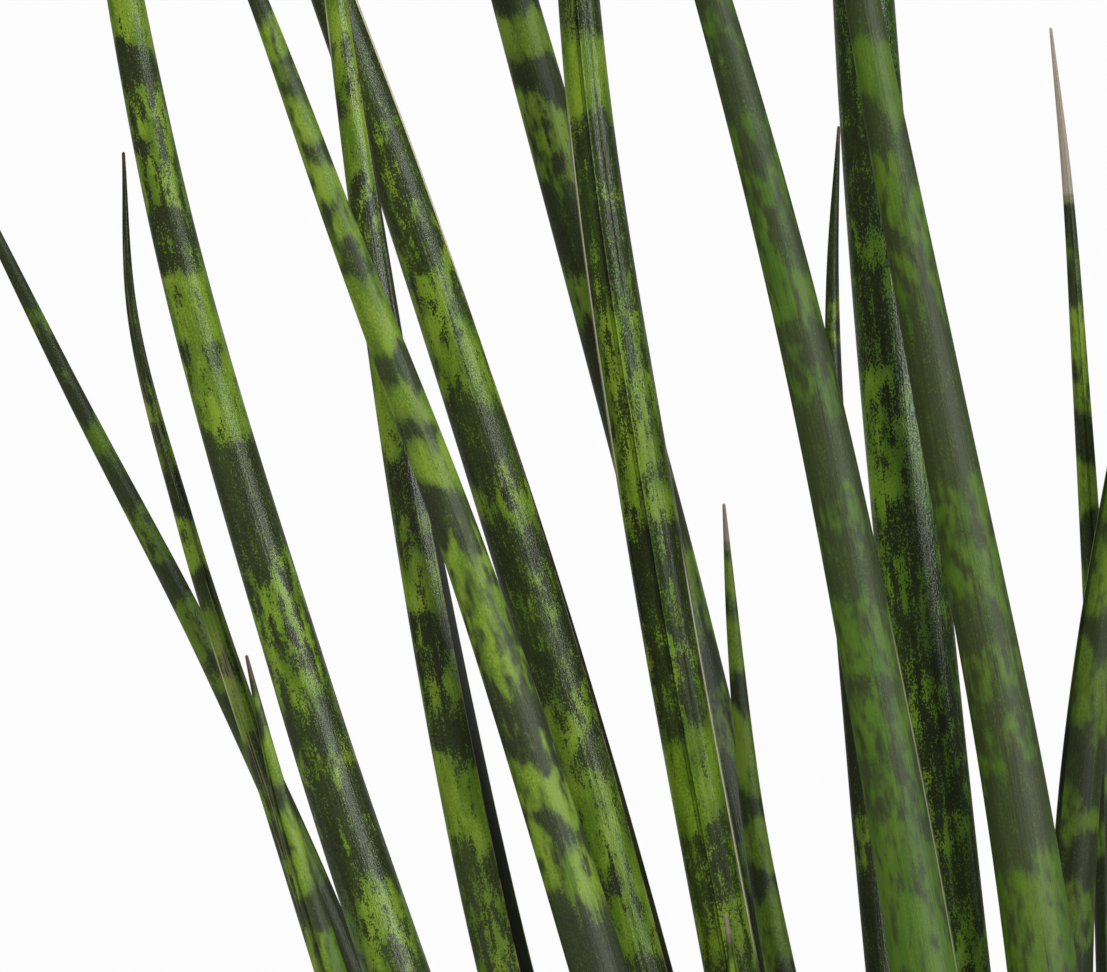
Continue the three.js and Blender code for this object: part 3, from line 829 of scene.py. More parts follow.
MARKINGS = {
    "leaf_01": Marking(
        bands=(
            Band(662, 672, 0.7),
            Band(637, 646, 0.85),
            Band(626, 632, 0.5),
            Band(608, 621, 0.9),
            Band(588, 600, 0.6),
            Band(569, 580, 0.9),
            Band(560, 565, 0.5),
            Band(540, 552, 0.6),
            Band(515, 528, 0.8),
        ),
        flecks=0.02,
        stipple=0.4,
        shade=0.92,
        fade=0.45,
    ),
    "leaf_02": Marking(
        bands=(
            Band(640, 652, 0.35),
            Band(619, 628, 0.75),
            Band(607, 615, 0.85),
            Band(587, 598, 0.9),
            Band(568, 582, 0.97),
            Band(550, 563, 0.95),
            Band(531, 541, 0.5),
            Band(518, 526, 0.5),
            Band(503, 512, 0.7),
        ),
        flecks=0.02,
        channel=0.25,
        grooved=1.0,
        dry=1.2,
        bleached=0.0,
        lined=0.6,
        rim_highlights=(RimHighlight(Side.LEFT, 549, 578),),
    ),
    "leaf_03": Marking(
        bands=(
            Band(699, 716, 0.9, -5),
            Band(676, 690, 0.5, -4),
            Band(663, 678, 0.62, 1),
            Band(653, 659, 0.2),
            Band(636, 649, 0.9),
            Band(617, 632, 0.9, -1),
            Band(568, 587, 0.5, 3),
            Band(556, 568, 0.5, -3),
            Band(541, 551, 0.5, 1),
            Band(528, 536, 0.15),
            Band(502, 520, 0.68, 1),
        ),
        flecks=0.08,
        stipple=0.75,
        shade=1.05,
    ),
    "leaf_04": Marking(
        bands=(
            Band(557, 562, 0.4),
            Band(542, 552, 0.97),
            Band(530, 538, 0.95),
            Band(518, 527, 0.95),
            Band(498, 514, 0.85),
        ),
        flecks=0.01,
        channel=0.3,
        dry=3.0,
        bleached=0.1,
        stipple=0.0,
    ),
    "leaf_05": Marking(
        bands=(
            Band(698, 712, 0.88),
            Band(685, 697, 0.78),
            Band(671, 684, 0.97, 2),
            Band(654, 670, 0.3),
            Band(613, 634, 0.85),
            Band(593, 603, 0.55, 1),
            Band(579, 592, 0.93, -3),
            Band(569, 576, 0.15),
            Band(558, 568, 0.5, 5),
            Band(529, 548, 0.94, -2),
            Band(510, 519, 0.35),
            Band(499, 506, 0.4, 2),
        ),
        flecks=0.12,
        channel=0.9,
        stipple=0.8,
        shade=0.95,
        rim_highlights=(RimHighlight(Side.LEFT, 690, 715), RimHighlight(Side.RIGHT, 690, 715)),
    ),
    "leaf_06": Marking(
        bands=(
            Band(683, 702, 0.96, -2),
            Band(656, 683, 0.12),
            Band(641, 657, 0.25, 4),
            Band(607, 643, 0.6, 3),
            Band(597, 607, 0.7),
            Band(576, 596, 0.08, 4),
            Band(558, 577, 0.25, 6),
            Band(532, 551, 0.97, 5),
            Band(518, 531, 0.25),
            Band(503, 517, 0.65),
        ),
        flecks=0.26,
        channel=0.1,
        grooved=1.0,
        stipple=1.0,
        shade=1.12,
        rim_highlights=(RimHighlight(Side.LEFT, 600, 690), RimHighlight(Side.RIGHT, 500, 595)),
    ),
    "leaf_07": Marking(
        bands=(
            Band(694, 701, 0.95),
            Band(688.5, 693, 0.95),
            Band(677, 687, 0.97, -1),
            Band(664, 674, 0.93, -3),
            Band(656, 661, 0.7, -5),
            Band(651, 655, 0.8, -2),
            Band(633, 649.5, 0.99),
            Band(619, 628, 0.97, -2),
            Band(604, 615, 0.97, -2),
            Band(591, 598, 0.25),
            Band(574, 592, 0.78, -5),
            Band(560, 574, 0.62, -5),
            Band(548, 557, 0.2),
            Band(536, 547, 0.85, -9),
            Band(517, 533, 0.88, -9),
        ),
        flecks=0.02,
        stipple=0.1,
    ),
    "leaf_08": Marking(bands=(Band(495, 508, 0.7),), flecks=0.05, dry=4.0, bleached=0.6, stipple=0.0),
    "leaf_09": Marking(
        bands=(
            Band(664, 690, 0.1),
            Band(649, 664, 0.25, 8),
            Band(641, 655, 0.6, 5),
            Band(624, 642, 0.82, -2),
            Band(597, 607, 0.66, -2),
            Band(576, 585, 0.5),
            Band(564, 573, 0.16),
            Band(548, 562, 0.6, 7),
            Band(521, 544, 0.82, -3),
            Band(503, 519, 0.78, -2),
        ),
        flecks=0.14,
        channel=0.9,
        stipple=0.8,
        rim_highlights=(RimHighlight(Side.RIGHT, 640, 730),),
    ),
    "leaf_10": Marking(
        bands=(
            Band(580, 592, 0.85),
            Band(565, 576, 0.98),
            Band(538, 557, 0.93),
            Band(521, 534, 0.96),
            Band(499, 518, 0.92),
        ),
        flecks=0.01,
        dry=8.0,
        bleached=0.8,
        stipple=0.0,
    ),
    "leaf_11": Marking(
        bands=(
            Band(698, 709, 0.97),
            Band(669, 691, 0.6, -6),
            Band(641, 655, 0.92),
            Band(603, 616, 0.6),
            Band(570, 590, 0.75, 3),
            Band(545, 560, 0.6),
            Band(515, 530, 0.7),
        ),
        flecks=0.03,
        stipple=0.3,
        shade=0.95,
    ),
    "leaf_12": Marking(
        bands=(Band(636, 648, 0.5), Band(570, 584, 0.5), Band(520, 532, 0.5)), bleached=0.1, shade=0.85
    ),
    "leaf_13": Marking(
        bands=(
            Band(695, 706, 0.3, 4),
            Band(656, 681, 0.4),
            Band(638, 653, 0.88, -4),
            Band(620, 636, 0.25, -6),
            Band(590, 605, 0.2),
            Band(565, 583, 0.68, -5),
            Band(548, 565, 0.6, -3),
            Band(536, 548, 0.35),
            Band(520, 537, 0.78, -9),
            Band(501, 523, 0.92, -12),
        ),
        flecks=0.06,
        stipple=0.0,
        fade=0.75,
        cool=0.05,
        rim_highlights=(RimHighlight(Side.RIGHT, 490, 580, 0.4),),
    ),
    "leaf_14": Marking(
        bands=(
            Band(672, 690, 0.12),
            Band(646, 660, 0.35),
            Band(612, 630, 0.62, -2),
            Band(600, 617, 0.72, 2),
            Band(577, 592, 0.4, 2),
            Band(552, 568, 0.3, 5),
            Band(528, 548, 0.3),
            Band(498, 516, 0.5),
        ),
        flecks=0.22,
        grooved=0.6,
        stipple=0.95,
        shade=0.96,
        cool=0.25,
    ),
    "leaf_15": Marking(
        bands=(
            Band(683, 697, 0.97, -3),
            Band(656, 671, 0.78, -9),
            Band(640, 655, 0.4),
            Band(595, 606, 0.6, 2),
            Band(580, 597, 0.6, -3),
            Band(561, 573, 0.4),
            Band(545, 556, 0.3, 5),
            Band(502, 529, 0.85, 7),
        ),
        flecks=0.06,
        stipple=0.0,
        fade=0.7,
    ),
    "leaf_17": Marking(
        bands=(
            Band(598, 612, 0.85),
            Band(576, 592, 0.9, -3),
            Band(549, 568, 0.85, -3),
            Band(525, 535, 0.7),
            Band(500, 514, 0.8),
        ),
        flecks=0.03,
        stipple=0.0,
        shade=0.95,
        fade=0.3,
    ),
    "leaf_18": Marking(
        bands=(
            Band(653, 661, 0.9),
            Band(634, 644, 0.9),
            Band(621, 632, 0.9),
            Band(598, 611, 0.95),
            Band(574, 588, 0.9),
            Band(550, 564, 0.9),
            Band(518, 530, 0.8),
        ),
        flecks=0.02,
        channel=0.2,
        dry=38.0,
        bleached=1.0,
        stipple=0.0,
    ),
}


@dataclass(frozen=True)
class MarkingRule:
    """How the bands go on where the photograph doesn't show a leaf: drawn by chance, the same on each run."""

    seed: int = 7
    seen: Pair = (498.0, 712.0)
    light: Pair = (5.0, 20.0)
    dark: Pair = (5.0, 24.0)
    cover: Pair = (0.3, 0.97)
    climb: Pair = (-5.0, 5.0)
    flecks: Pair = (0.02, 0.08)
    dry: Pair = (1.5, 6.0)
    bleached: Pair = (0.0, 1.0)
    stipple: Pair = (0.2, 0.9)
    shade: Pair = (0.85, 1.05)

    def complete(self, node: str, low: float, high: float) -> Marking:
        """Gives a leaf's markings over its whole height.

        Args:
            node: Name of the CAD leaf.
            low: Height of its foot in millimetres.
            high: Height of its tip in millimetres.

        Returns:
            The markings.
        """
        chance = np.random.default_rng([self.seed, int(node[-2:])])
        known = MARKINGS.get(node)
        every = list(known.bands) if known else []
        height = low
        while height < high:
            top = height + chance.uniform(*self.light)
            band = Band(height, top, chance.uniform(*self.cover), chance.uniform(*self.climb))
            if known is None or top < self.seen[0] or height > self.seen[1]:
                every.append(band)
            height = top + chance.uniform(*self.dark)
        if known:
            return replace(known, bands=tuple(every))
        names = ("flecks", "dry", "bleached", "stipple", "shade")
        drawn = {name: chance.uniform(*getattr(self, name)) for name in names}
        return Marking(tuple(every), **drawn)


@dataclass(frozen=True)
class Leaves:
    """All the leaves: each is drawn out of the blank along its CAD leaf and marked."""

    blank: LeafBlank = LeafBlank()
    section: LeafSection = LeafSection()
    rule: MarkingRule = MarkingRule()
    finish: LeafFinish = LeafFinish()
    fine_row: float = 1.8 * MM
    coarse_row: float = 7 * MM
    tip_row: float = 2.5 * MM
    tip_stretch: float = 30 * MM
    tip_dome: float = 0.3 * MM
    samples: int = 1500
    # Share of the leaf over which the channel goes from wide open at the foot to its own width
    settle: float = 0.4
    shut_width: float = 0.12
    shut_depth: float = 0.4
    pull: float = math.radians(110)
    beyond_lips: float = 1.3
    grain_apart: float = 1.7
    # How the painted edge highlights fade in at their ends, and their angle round the leaf from its front
    rim_highlight_fade: float = 15.0
    rim_highlight_angle: float = math.radians(70)
    # Where the painted shade on the channel's floor and along its crease lies, from its bottom, 0, to its
    # lips, 1
    channel_shade_end: float = 0.8
    crease_end: float = 0.97
    crease_shade: float = 0.9
    wide_span: Pair = (0.2, 0.7)
    lip_near: float = math.radians(0.5)
    lip_span: Pair = (0.5, 0.9)
    # Distance from the axis, in radii, under which a vertex is an end's middle, and over which it is skin
    middle_reach: float = 0.01
    skin_reach: float = 0.5

    def row_reaches(self, line: LeafLine) -> Array:
        """Gives the distance from the foot of each row, closest where the photograph looks and at the tip.

        Args:
            line: The leaf's line.

        Returns:
            One distance for each row of the blank, rising.
        """
        reach = np.linspace(0, line.length, self.samples)
        height = line.centre(reach)[:, 2] / MM
        low, high = self.rule.seen
        spacing = np.where((height > low) & (height < high), self.fine_row, self.coarse_row)
        spacing = np.where(reach > line.length - self.tip_stretch, self.tip_row, spacing)
        rows = np.concatenate([[0], np.cumsum(np.diff(reach) / spacing[1:])])
        return np.interp(np.linspace(0, rows[-1], self.blank.rows + 1), rows, reach)

    def opened(self, angle: Array, reach_out: Array, openness: Array) -> tuple[Array, Array]:
        """Narrows the blank's channel to a crease where it is less open.

        Args:
            angle: Angle of each vertex to the channel.
            reach_out: Distance of each vertex from the axis, in radii.
            openness: How open the channel is at each vertex, from 0 to 1.

        Returns:
            The new angles and distances.
        """
        size = np.abs(angle)
        near = 1 - smoothstep(size, self.section.lip_angle, self.pull)
        width = self.shut_width + (1 - self.shut_width) * openness
        depth = self.shut_depth + (1 - self.shut_depth) * openness
        within = size < self.section.lip_angle * self.beyond_lips
        return angle * (1 - near * (1 - width)), np.where(within, 1 - (1 - reach_out) * depth, reach_out)

    def threshold(self, share: Array | float) -> Array:
        """Gives the level that a share of the skin's noise lies under."""
        level = NormalDist().inv_cdf
        return np.vectorize(lambda each: level(float(np.clip(each, 0.001, 0.999))))(share)

    def mark_bands(self, mesh: bpy.types.Mesh, marking: Marking, height: Array, across: Array) -> None:
        """Stores how deep each vertex lies in a light band, below 0 outside, and how light that band is.

        Args:
            mesh: The leaf's mesh.
            marking: The leaf's markings.
            height: Height of each vertex's row in millimetres.
            across: Place from the leaf's left edge, -1, to its right edge, 1, as the photograph sees it.
        """
        levels = [(band, height - band.climb * across / 2) for band in marking.bands]
        depth = np.array([np.minimum(level - band.low, band.high - level) for band, level in levels])
        covers = np.array([band.cover for band in marking.bands])
        store(mesh, "band", depth.max(axis=0))
        store(mesh, "cover", self.threshold(covers[np.argmax(depth, axis=0)]))

    def mark_rim_highlights(
        self, mesh: bpy.types.Mesh, marking: Marking, height: Array, outward: Array, radius: Array
    ) -> None:
        """Stores how strong the nearest painted edge highlight is at each vertex, and how far off it runs.

        Args:
            mesh: The leaf's mesh.
            marking: The leaf's markings.
            height: Height of each vertex's row in millimetres.
            outward: Way from the leaf's middle line to each vertex.
            radius: The leaf's radius at each vertex.
        """
        angle = np.arctan2(outward[:, 0], -outward[:, 1])
        rim, from_rim_highlight = np.zeros(len(height)), radius / MM
        for part in marking.rim_highlights:
            inside = np.minimum(height - part.low, part.high - height)
            shown = smoothstep(inside, 0, self.rim_highlight_fade) * part.strength
            beyond = (angle * part.side.value - self.rim_highlight_angle) * radius / MM
            from_rim_highlight = np.where(shown > rim, beyond, from_rim_highlight)
            rim = np.maximum(rim, shown)
        store(mesh, "rim", rim)
        store(mesh, "from_rim_highlight", from_rim_highlight)

    def build_leaf(self, node: str, blank: Piece, material: Material) -> None:
        """Draws one leaf out of the blank.

        Args:
            node: Name of the CAD leaf.
            blank: The blank.
            material: The leaf skin.
        """
        line = LeafLine(node, self.section)
        marking = self.rule.complete(node, line.centres[0, 2] / MM, line.centres[-1, 2] / MM)
        shape = places(blank.data)
        angle, reach_out = np.arctan2(shape[:, 0], shape[:, 1]), np.hypot(shape[:, 0], shape[:, 1])
        row_share = np.linspace(0, 1, self.blank.rows + 1)
        reach = np.interp(shape[:, 2], row_share, self.row_reaches(line))
        openness = 1 - (1 - marking.channel) * smoothstep(reach / line.length, 0, self.settle)
        new_angle, new_reach = self.opened(angle, reach_out, openness)
        lip = self.section.lip_angle
        back = (np.abs(angle) > lip * self.beyond_lips) & (reach_out > self.skin_reach)
        new_reach = np.where(back, 1 - (1 - new_reach) * marking.grooved, new_reach)
        centre, radius = line.centre(reach), line.radius(reach)
        sideways, channel, along = line.axes(reach)
        out = np.sin(new_angle)[:, None] * sideways + np.cos(new_angle)[:, None] * channel
        outward = (radius * new_reach)[:, None] * out
        dome = (reach_out < self.middle_reach) & (shape[:, 2] > 0.5)
        outward[dome] = along[dome] * self.tip_dome
        piece = copy_shaped(blank, "green_" + node, centre + outward)
        mesh = piece.data
        start = reach + int(node[-2:]) * self.grain_apart
        grain = np.stack([radius * np.sin(new_angle), radius * np.cos(new_angle), start], axis=1)
        store(mesh, "grain", grain)
        store(mesh, "flecks", float(self.threshold(marking.flecks)))
        store(mesh, "alive", (line.length - reach) / MM - marking.dry)
        for name in ("bleached", "stipple", "shade", "fade", "cool", "lined"):
            store(mesh, name, getattr(marking, name))
        height = centre[:, 2] / MM
        self.mark_bands(mesh, marking, height, outward[:, 0] / radius)
        self.mark_rim_highlights(mesh, marking, height, outward, radius)
        # Painted shade on the channel's floor where it is open, and along its crease, stored as the channel
        # attribute
        from_bottom = np.abs(angle) / lip
        crease = (from_bottom > self.channel_shade_end) & (from_bottom < self.crease_end)
        bottom = smoothstep(openness, *self.wide_span) * (from_bottom < self.channel_shade_end)
        store(mesh, "channel", np.where(crease, self.crease_shade, bottom))
        at_lip = np.abs(np.abs(angle) - lip) < self.lip_near
        store(mesh, "lip", at_lip * smoothstep(openness, *self.lip_span))
        dress(piece, Slot.LEAF, material, node)

    def build(self) -> None:
        """Builds every leaf."""
        blank = self.blank.build()
        material = self.finish.material()
        for node in sorted(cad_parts):
            if node.startswith("leaf_"):
                self.build_leaf(node, blank, material)
        bpy.data.objects.remove(blank)


@dataclass(frozen=True)
class Sheaths:
    """The papery scale leaves: two thin pointed sleeves round the feet of each pair, grown together."""

    section: LeafSection = LeafSection()
    finish: SheathFinish = SheathFinish()
    sides: int = 28
    rows: int = 16
    low: float = 31 * MM
    point: float = 64 * MM
    room: float = 0.55 * MM
    paper: float = 0.6 * MM
    curl: float = 1.3 * MM
    fray: float = 1.6 * MM
    # How late the sleeve rises to its point round the leaf, and how late it curls along the leaf
    point_power: int = 2
    curl_power: int = 6
    seed: int = 19

    def blank(self) -> Piece:
        """Models the straight sleeve.

        Returns:
            The sleeve, 1 long and 1 in radius.
        """
        sleeve = straight_tube(self.sides)
        with Editing(sleeve) as edit:
            edit.pick(Element.EDGE, lambda first, second: first.z != second.z)
            bpy.ops.mesh.subdivide(number_cuts=self.rows - 1)
        return sleeve

    def sleeve(self, leaf: int, blank: Piece, chance: np.random.Generator) -> Piece:
        """Bends one sleeve round a leaf's foot.

        Args:
            leaf: Number of the CAD leaf.
            blank: The straight sleeve.
            chance: Where the frayed edge comes from.

        Returns:
            The sleeve, as thin as a sheet.
        """
        line = LeafLine(f"leaf_{leaf:02d}", self.section)
        shape = places(blank.data)
        angle = np.arctan2(shape[:, 0], shape[:, 1])
        column = np.round(angle / (2 * math.pi) * self.sides).astype(int) % self.sides
        fray = chance.uniform(-self.fray, self.fray, self.sides)[column]
        pointed = ((1 - np.cos(angle)) / 2) ** self.point_power
        top = self.low + (self.point - self.low) * pointed + fray
        reach = shape[:, 2] * top
        sideways, channel, _ = line.axes(reach)
        open_edge = np.clip(shape[:, 2], 0, 1) ** self.curl_power
        radius = line.radius(reach) + self.room + self.curl * open_edge
        out = np.sin(angle)[:, None] * sideways + np.cos(angle)[:, None] * channel
        sheet = copy_shaped(blank, "sleeve", line.centre(reach) + radius[:, None] * out)
        grain = np.stack([radius * np.sin(angle), radius * np.cos(angle), reach + leaf], axis=1)
        store(sheet.data, "grain", grain)
        store(sheet.data, "to_edge", top - reach)
        return sheet

    def build(self) -> None:
        """Builds the scale leaf of each pair."""
        blank = self.blank()
        material = self.finish.material()
        chance = np.random.default_rng(self.seed)
        for node in sorted(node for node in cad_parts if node.startswith("sheath_")):
            second = 2 * int(node[-2:])
            sleeves = [self.sleeve(leaf, blank, chance) for leaf in (second - 1, second)]
            piece = join(sleeves, "papery_" + node)
            thick = piece.modifiers.new("paper", "SOLIDIFY")
            thick.thickness = self.paper
            thick.offset = 1
            bpy.ops.object.modifier_apply(modifier=thick.name)
            dress(piece, Slot.SHEATH, material, node)
        bpy.data.objects.remove(blank)


@dataclass(frozen=True)
class Pot:
    """A plain tapered clay pot with a raised rim band and four drainage holes."""

    finish: ClayFinish = ClayFinish()
    foot_radius: float = 76 * MM
    neck_radius: float = 96 * MM
    rim_radius: float = 104 * MM
    height: float = 190 * MM
    rim_height: float = 34 * MM
    wall: float = 8 * MM
    floor: float = 11 * MM
    edge: float = 2.5 * MM
    edge_steps: int = 4
    steps: int = 96
    same_place: float = 0.01 * MM
    sharp: float = math.radians(40)
    hole_radius: float = 6 * MM
    hole_ring: float = 44 * MM
    hole_count: int = 4
    hole_sides: int = 32

    @property
    def neck(self) -> float:
        """Height at which the rim band starts."""
        return self.height - self.rim_height

    @property
    def inside(self) -> float:
        """Inside radius of the rim."""
        return self.neck_radius - self.wall

    def corner(self, across: float, up: float, start: float) -> list[Pair]:
        """Rounds a corner by a quarter turn, from a start in degrees round the arc's middle."""
        angles = [math.radians(start + 90 * i / self.edge_steps) for i in range(self.edge_steps + 1)]
        return [(across + self.edge * math.cos(a), up + self.edge * math.sin(a)) for a in angles]

    def outline(self) -> list[Pair]:
        """Gives the pot's section from the axis under the foot to the axis on its floor.

        Returns:
            The section's corners, as distance from the axis and height.
        """
        edge, top = self.edge, self.height - self.edge
        return [
            (0, 0),
            (self.foot_radius - edge, 0),
            *self.corner(self.foot_radius - edge, edge, -90)[1:],
            (self.neck_radius, self.neck),
            *self.corner(self.rim_radius - edge, self.neck + edge, -90),
            *self.corner(self.rim_radius - edge, top, 0),
            *self.corner(self.inside + edge, top, 90),
            (self.inside, self.neck),
            (self.foot_radius - self.wall, self.floor),
            (0, self.floor),
        ]

    def drill(self, pot: Piece) -> None:
        """Cuts the drainage holes.

        Args:
            pot: The solid pot.
        """
        for i in range(self.hole_count):
            angle = (i + 0.5) / self.hole_count * 2 * math.pi
            place = (self.hole_ring * math.cos(angle), self.hole_ring * math.sin(angle), 0)
            select()
            bpy.ops.mesh.primitive_cylinder_add(
                vertices=self.hole_sides, radius=self.hole_radius, depth=4 * self.floor, location=place
            )
            drill = bpy.context.object
            select(pot)
            cut = pot.modifiers.new("hole", "BOOLEAN")
            cut.operation = "DIFFERENCE"
            cut.object = drill
            cut.solver = "EXACT"
            bpy.ops.object.modifier_apply(modifier=cut.name)
            bpy.data.objects.remove(drill)

    def build(self) -> None:
        """Turns the pot out of its section."""
        select()
        bpy.ops.mesh.primitive_plane_add(size=self.edge, location=(0, 0, 0))
        pot = bpy.context.object
        pot.name = "clay_pot"
        section = self.outline()
        with Editing(pot):
            bpy.ops.mesh.select_all(action="SELECT")
            bpy.ops.mesh.merge(type="CENTER")
            for (across, up), (next_across, next_up) in zip(section[:-1], section[1:]):
                way = (next_across - across, 0, next_up - up)
                bpy.ops.mesh.extrude_region_move(TRANSFORM_OT_translate={"value": way})
            bpy.ops.mesh.select_all(action="SELECT")
            bpy.ops.mesh.spin(steps=self.steps, angle=2 * math.pi, center=(0, 0, 0), axis=(0, 0, 1))
            bpy.ops.mesh.select_all(action="SELECT")
            bpy.ops.mesh.remove_doubles(threshold=self.same_place)
            bpy.ops.mesh.normals_make_consistent(inside=False)
        self.drill(pot)
        bpy.ops.object.shade_smooth_by_angle(angle=self.sharp)
        dress(pot, Slot.POT, self.finish.material(), "pot")


class Bit(Enum):
    """Kinds of loose bits on the potting mix."""

    CRUMB = "soil_crumbs"
    BARK = "bark_bits"
    PERLITE = "perlite_bits"


@dataclass(frozen=True)
class BitRule:
    """How many bits of a kind lie on the soil, how large and how flat they are, and their finish."""

    count: int
    size: Pair
    flatness: Triple
    finish: EarthFinish


CRUMB = EarthFinish("soil_crumb", screen_colour(34, 26, 20), screen_colour(70, 54, 40), 2.5 * MM, 0.4 * MM)
BARK = EarthFinish("bark", screen_colour(62, 38, 24), screen_colour(122, 82, 52), 2.0 * MM, 0.5 * MM)
PERLITE = EarthFinish(
    "perlite", screen_colour(190, 186, 176), screen_colour(232, 229, 220), 1.2 * MM, 0.3 * MM
)
SOIL = EarthFinish("potting_soil", screen_colour(30, 23, 18), screen_colour(62, 48, 36), 5 * MM, 1.2 * MM)
RHIZOME = EarthFinish(
    "rhizome_skin", screen_colour(170, 96, 40), screen_colour(206, 140, 70), 9 * MM, 0.5 * MM, 0.55
)
BIT_RULES = {
    Bit.CRUMB: BitRule(620, (1.2 * MM, 3.0 * MM), (1.0, 0.9, 0.7), CRUMB),
    Bit.BARK: BitRule(130, (2.4 * MM, 5.0 * MM), (1.5, 0.8, 0.35), BARK),
    Bit.PERLITE: BitRule(120, (1.0 * MM, 2.2 * MM), (1.0, 0.95, 0.85), PERLITE),
}


@dataclass(frozen=True)
class PottingMix:
    """The soil in the pot, with crumbs, bark and perlite lying on it."""

    pot: Pot
    finish: EarthFinish = SOIL
    top: float = 172 * MM
    gap: float = 0.3 * MM
    relief: float = 1.8 * MM
    lump: float = 13 * MM
    sway: float = 1.3
    crumble: float = 1.1 * MM
    crumble_size: float = 4 * MM
    edge_power: int = 4
    rings: int = 30
    sides: int = 96
    level_normal: float = 0.9
    near_top: float = 0.1 * MM
    seed: int = 5
    lump_cube: float = 1.6
    lump_smoothness: float = 0.8
    unevenness: Pair = (0.75, 1.15)
    tilt: float = 0.35
    # How high a bit's middle lies over the soil, as a share of its thickness
    lift: float = 0.35
    wall_room: float = 1.6

    def surface(self, x: float, y: float) -> float:
        """Gives the height of the soil at a place.

        Args:
            x: The place along X.
            y: The place along Y.

        Returns:
            The height.
        """
        edge_share = min(1.0, math.hypot(x, y) / (self.pot.inside - self.gap))
        across, along = x / self.lump, y / self.lump
        waves = math.sin(across + self.sway * math.sin(along)) + math.sin(along - across / 2)
        crumbs = noise.noise(Vector((x, y, 0)) / self.crumble_size) * self.crumble
        return self.top + (self.relief / 2 * waves + crumbs) * (1 - edge_share**self.edge_power)

    def build_soil(self) -> None:
        """Fills the pot with soil."""
        pot = self.pot
        inside = pot.inside - self.gap
        bottom = pot.foot_radius - pot.wall - self.gap
        low = pot.floor + self.gap
        middle = (0, 0, (self.top + low) / 2)
        select()
        bpy.ops.mesh.primitive_cylinder_add(
            vertices=self.sides, radius=inside, depth=self.top - low, location=middle
        )
        soil = bpy.context.object
        soil.name = "potting_mix"
        bpy.ops.object.transform_apply(location=True, rotation=True, scale=True)
        with Editing(soil) as edit:
            bpy.ops.mesh.select_all(action="SELECT")
            bpy.ops.mesh.bisect(plane_co=(0, 0, pot.neck), plane_no=(0, 0, 1))
            edit.pick(Element.VERTEX, lambda place: place.z < low + MM)
            share = bottom / inside
            bpy.ops.transform.resize(value=(share, share, 1), center_override=(0, 0, low))
            flat = self.level_normal
            edit.pick(Element.FACE, lambda middle, normal: normal.z > flat and middle.z > pot.neck)
            for _ in range(self.rings - 1):
                bpy.ops.mesh.inset(thickness=inside / self.rings)
            bpy.ops.mesh.poke()
        for vertex in soil.data.vertices:
            if vertex.co.z > self.top - self.near_top:
                vertex.co.z = self.surface(vertex.co.x, vertex.co.y)
        smooth_all(soil.data)
        dress(soil, Slot.SOIL, self.finish.material(), "soil")

    def bit_blank(self, chance: np.random.Generator) -> Piece:
        """Models one rough little lump.

        Args:
            chance: Where its unevenness comes from.

        Returns:
            The lump, about 1 in radius.
        """
        select()
        bpy.ops.mesh.primitive_cube_add(size=self.lump_cube, location=(0, 0, 0))
        lump = bpy.context.object
        with Editing(lump):
            bpy.ops.mesh.select_all(action="SELECT")
            bpy.ops.mesh.subdivide(number_cuts=1, smoothness=self.lump_smoothness)
        shape = places(lump.data)
        uneven = shape * chance.uniform(*self.unevenness, shape.shape)
        lump.data.vertices.foreach_set("co", uneven.ravel())
        return lump

    def build_bits(self, kind: Bit, chance: np.random.Generator) -> None:
        """Scatters the bits of one kind, joined in one piece.

        Args:
            kind: The kind of bit.
            chance: Where their places come from.
        """
        rule = BIT_RULES[kind]
        blank = self.bit_blank(chance)
        shape = places(blank.data) * np.array(rule.flatness)
        inside = self.pot.inside - rule.size[1] * self.wall_room
        bits = []
        for _ in range(rule.count):
            away = inside * math.sqrt(chance.random())
            round_pot, turn = chance.uniform(0, 2 * math.pi), chance.uniform(0, 2 * math.pi)
            tilt = chance.normal(0, self.tilt)
            size = chance.uniform(*rule.size)
            sin, cos = math.sin(turn), math.cos(turn)
            spin = np.array([[cos, -sin, 0], [sin, cos, 0], [0, 0, 1]])
            sin, cos = math.sin(tilt), math.cos(tilt)
            tip = np.array([[1, 0, 0], [0, cos, -sin], [0, sin, cos]])
            x, y = away * math.cos(round_pot), away * math.sin(round_pot)
            z = self.surface(x, y) + size * rule.flatness[2] * self.lift
            bits.append(copy_shaped(blank, "bit", shape * size @ tip.T @ spin.T + np.array([x, y, z])))
        bpy.data.objects.remove(blank)
        dress(join(bits, kind.value), Slot.SOIL, rule.finish.material())

    def build(self) -> None:
        """Builds the soil and what lies on it."""
        self.build_soil()
        chance = np.random.default_rng(self.seed)
        for kind in Bit:
            self.build_bits(kind, chance)


@dataclass(frozen=True)
class Rhizome:
    """The creeping stem under the soil: the CAD node with its own finish."""

    finish: EarthFinish = RHIZOME

    def build(self) -> None:
        """Dresses the CAD node."""
        material = self.finish.material()
        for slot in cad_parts["rhizome"].material_slots:
            slot.material = material
        LOG.info("rhizome: dressed")


class Glow(Enum):
    """What of a surface a light reaches."""

    COLOUR = "colour"
    GLOSS = "gloss"


@dataclass(frozen=True)
class Softbox:
    """A soft light: where it stands, its width and height, how bright its face is, where 1 is the white of
    the backdrop, what it reaches, and its colour."""

    name: str
    place: Triple
    size: Pair
    radiance: float
    reaches: Glow
    colour: Triple = (1.0, 1.0, 1.0)


SOFTBOXES = (
    Softbox("front", (1.3, -2.3, 1.3), (1.6, 1.6), 4.4, Glow.COLOUR, (0.95, 0.93, 0.84)),
    Softbox("fill", (-2.2, -1.2, 0.9), (1.4, 1.8), 1.6, Glow.COLOUR, (1.0, 0.9, 0.55)),
    Softbox("sheen", (1.4, -1.35, 0.95), (0.6, 2.0), 13.2, Glow.GLOSS, (0.96, 1.0, 0.96)),
    Softbox("behind", (0.0, 2.4, 0.7), (4.6, 3.0), 0.3, Glow.GLOSS),
)


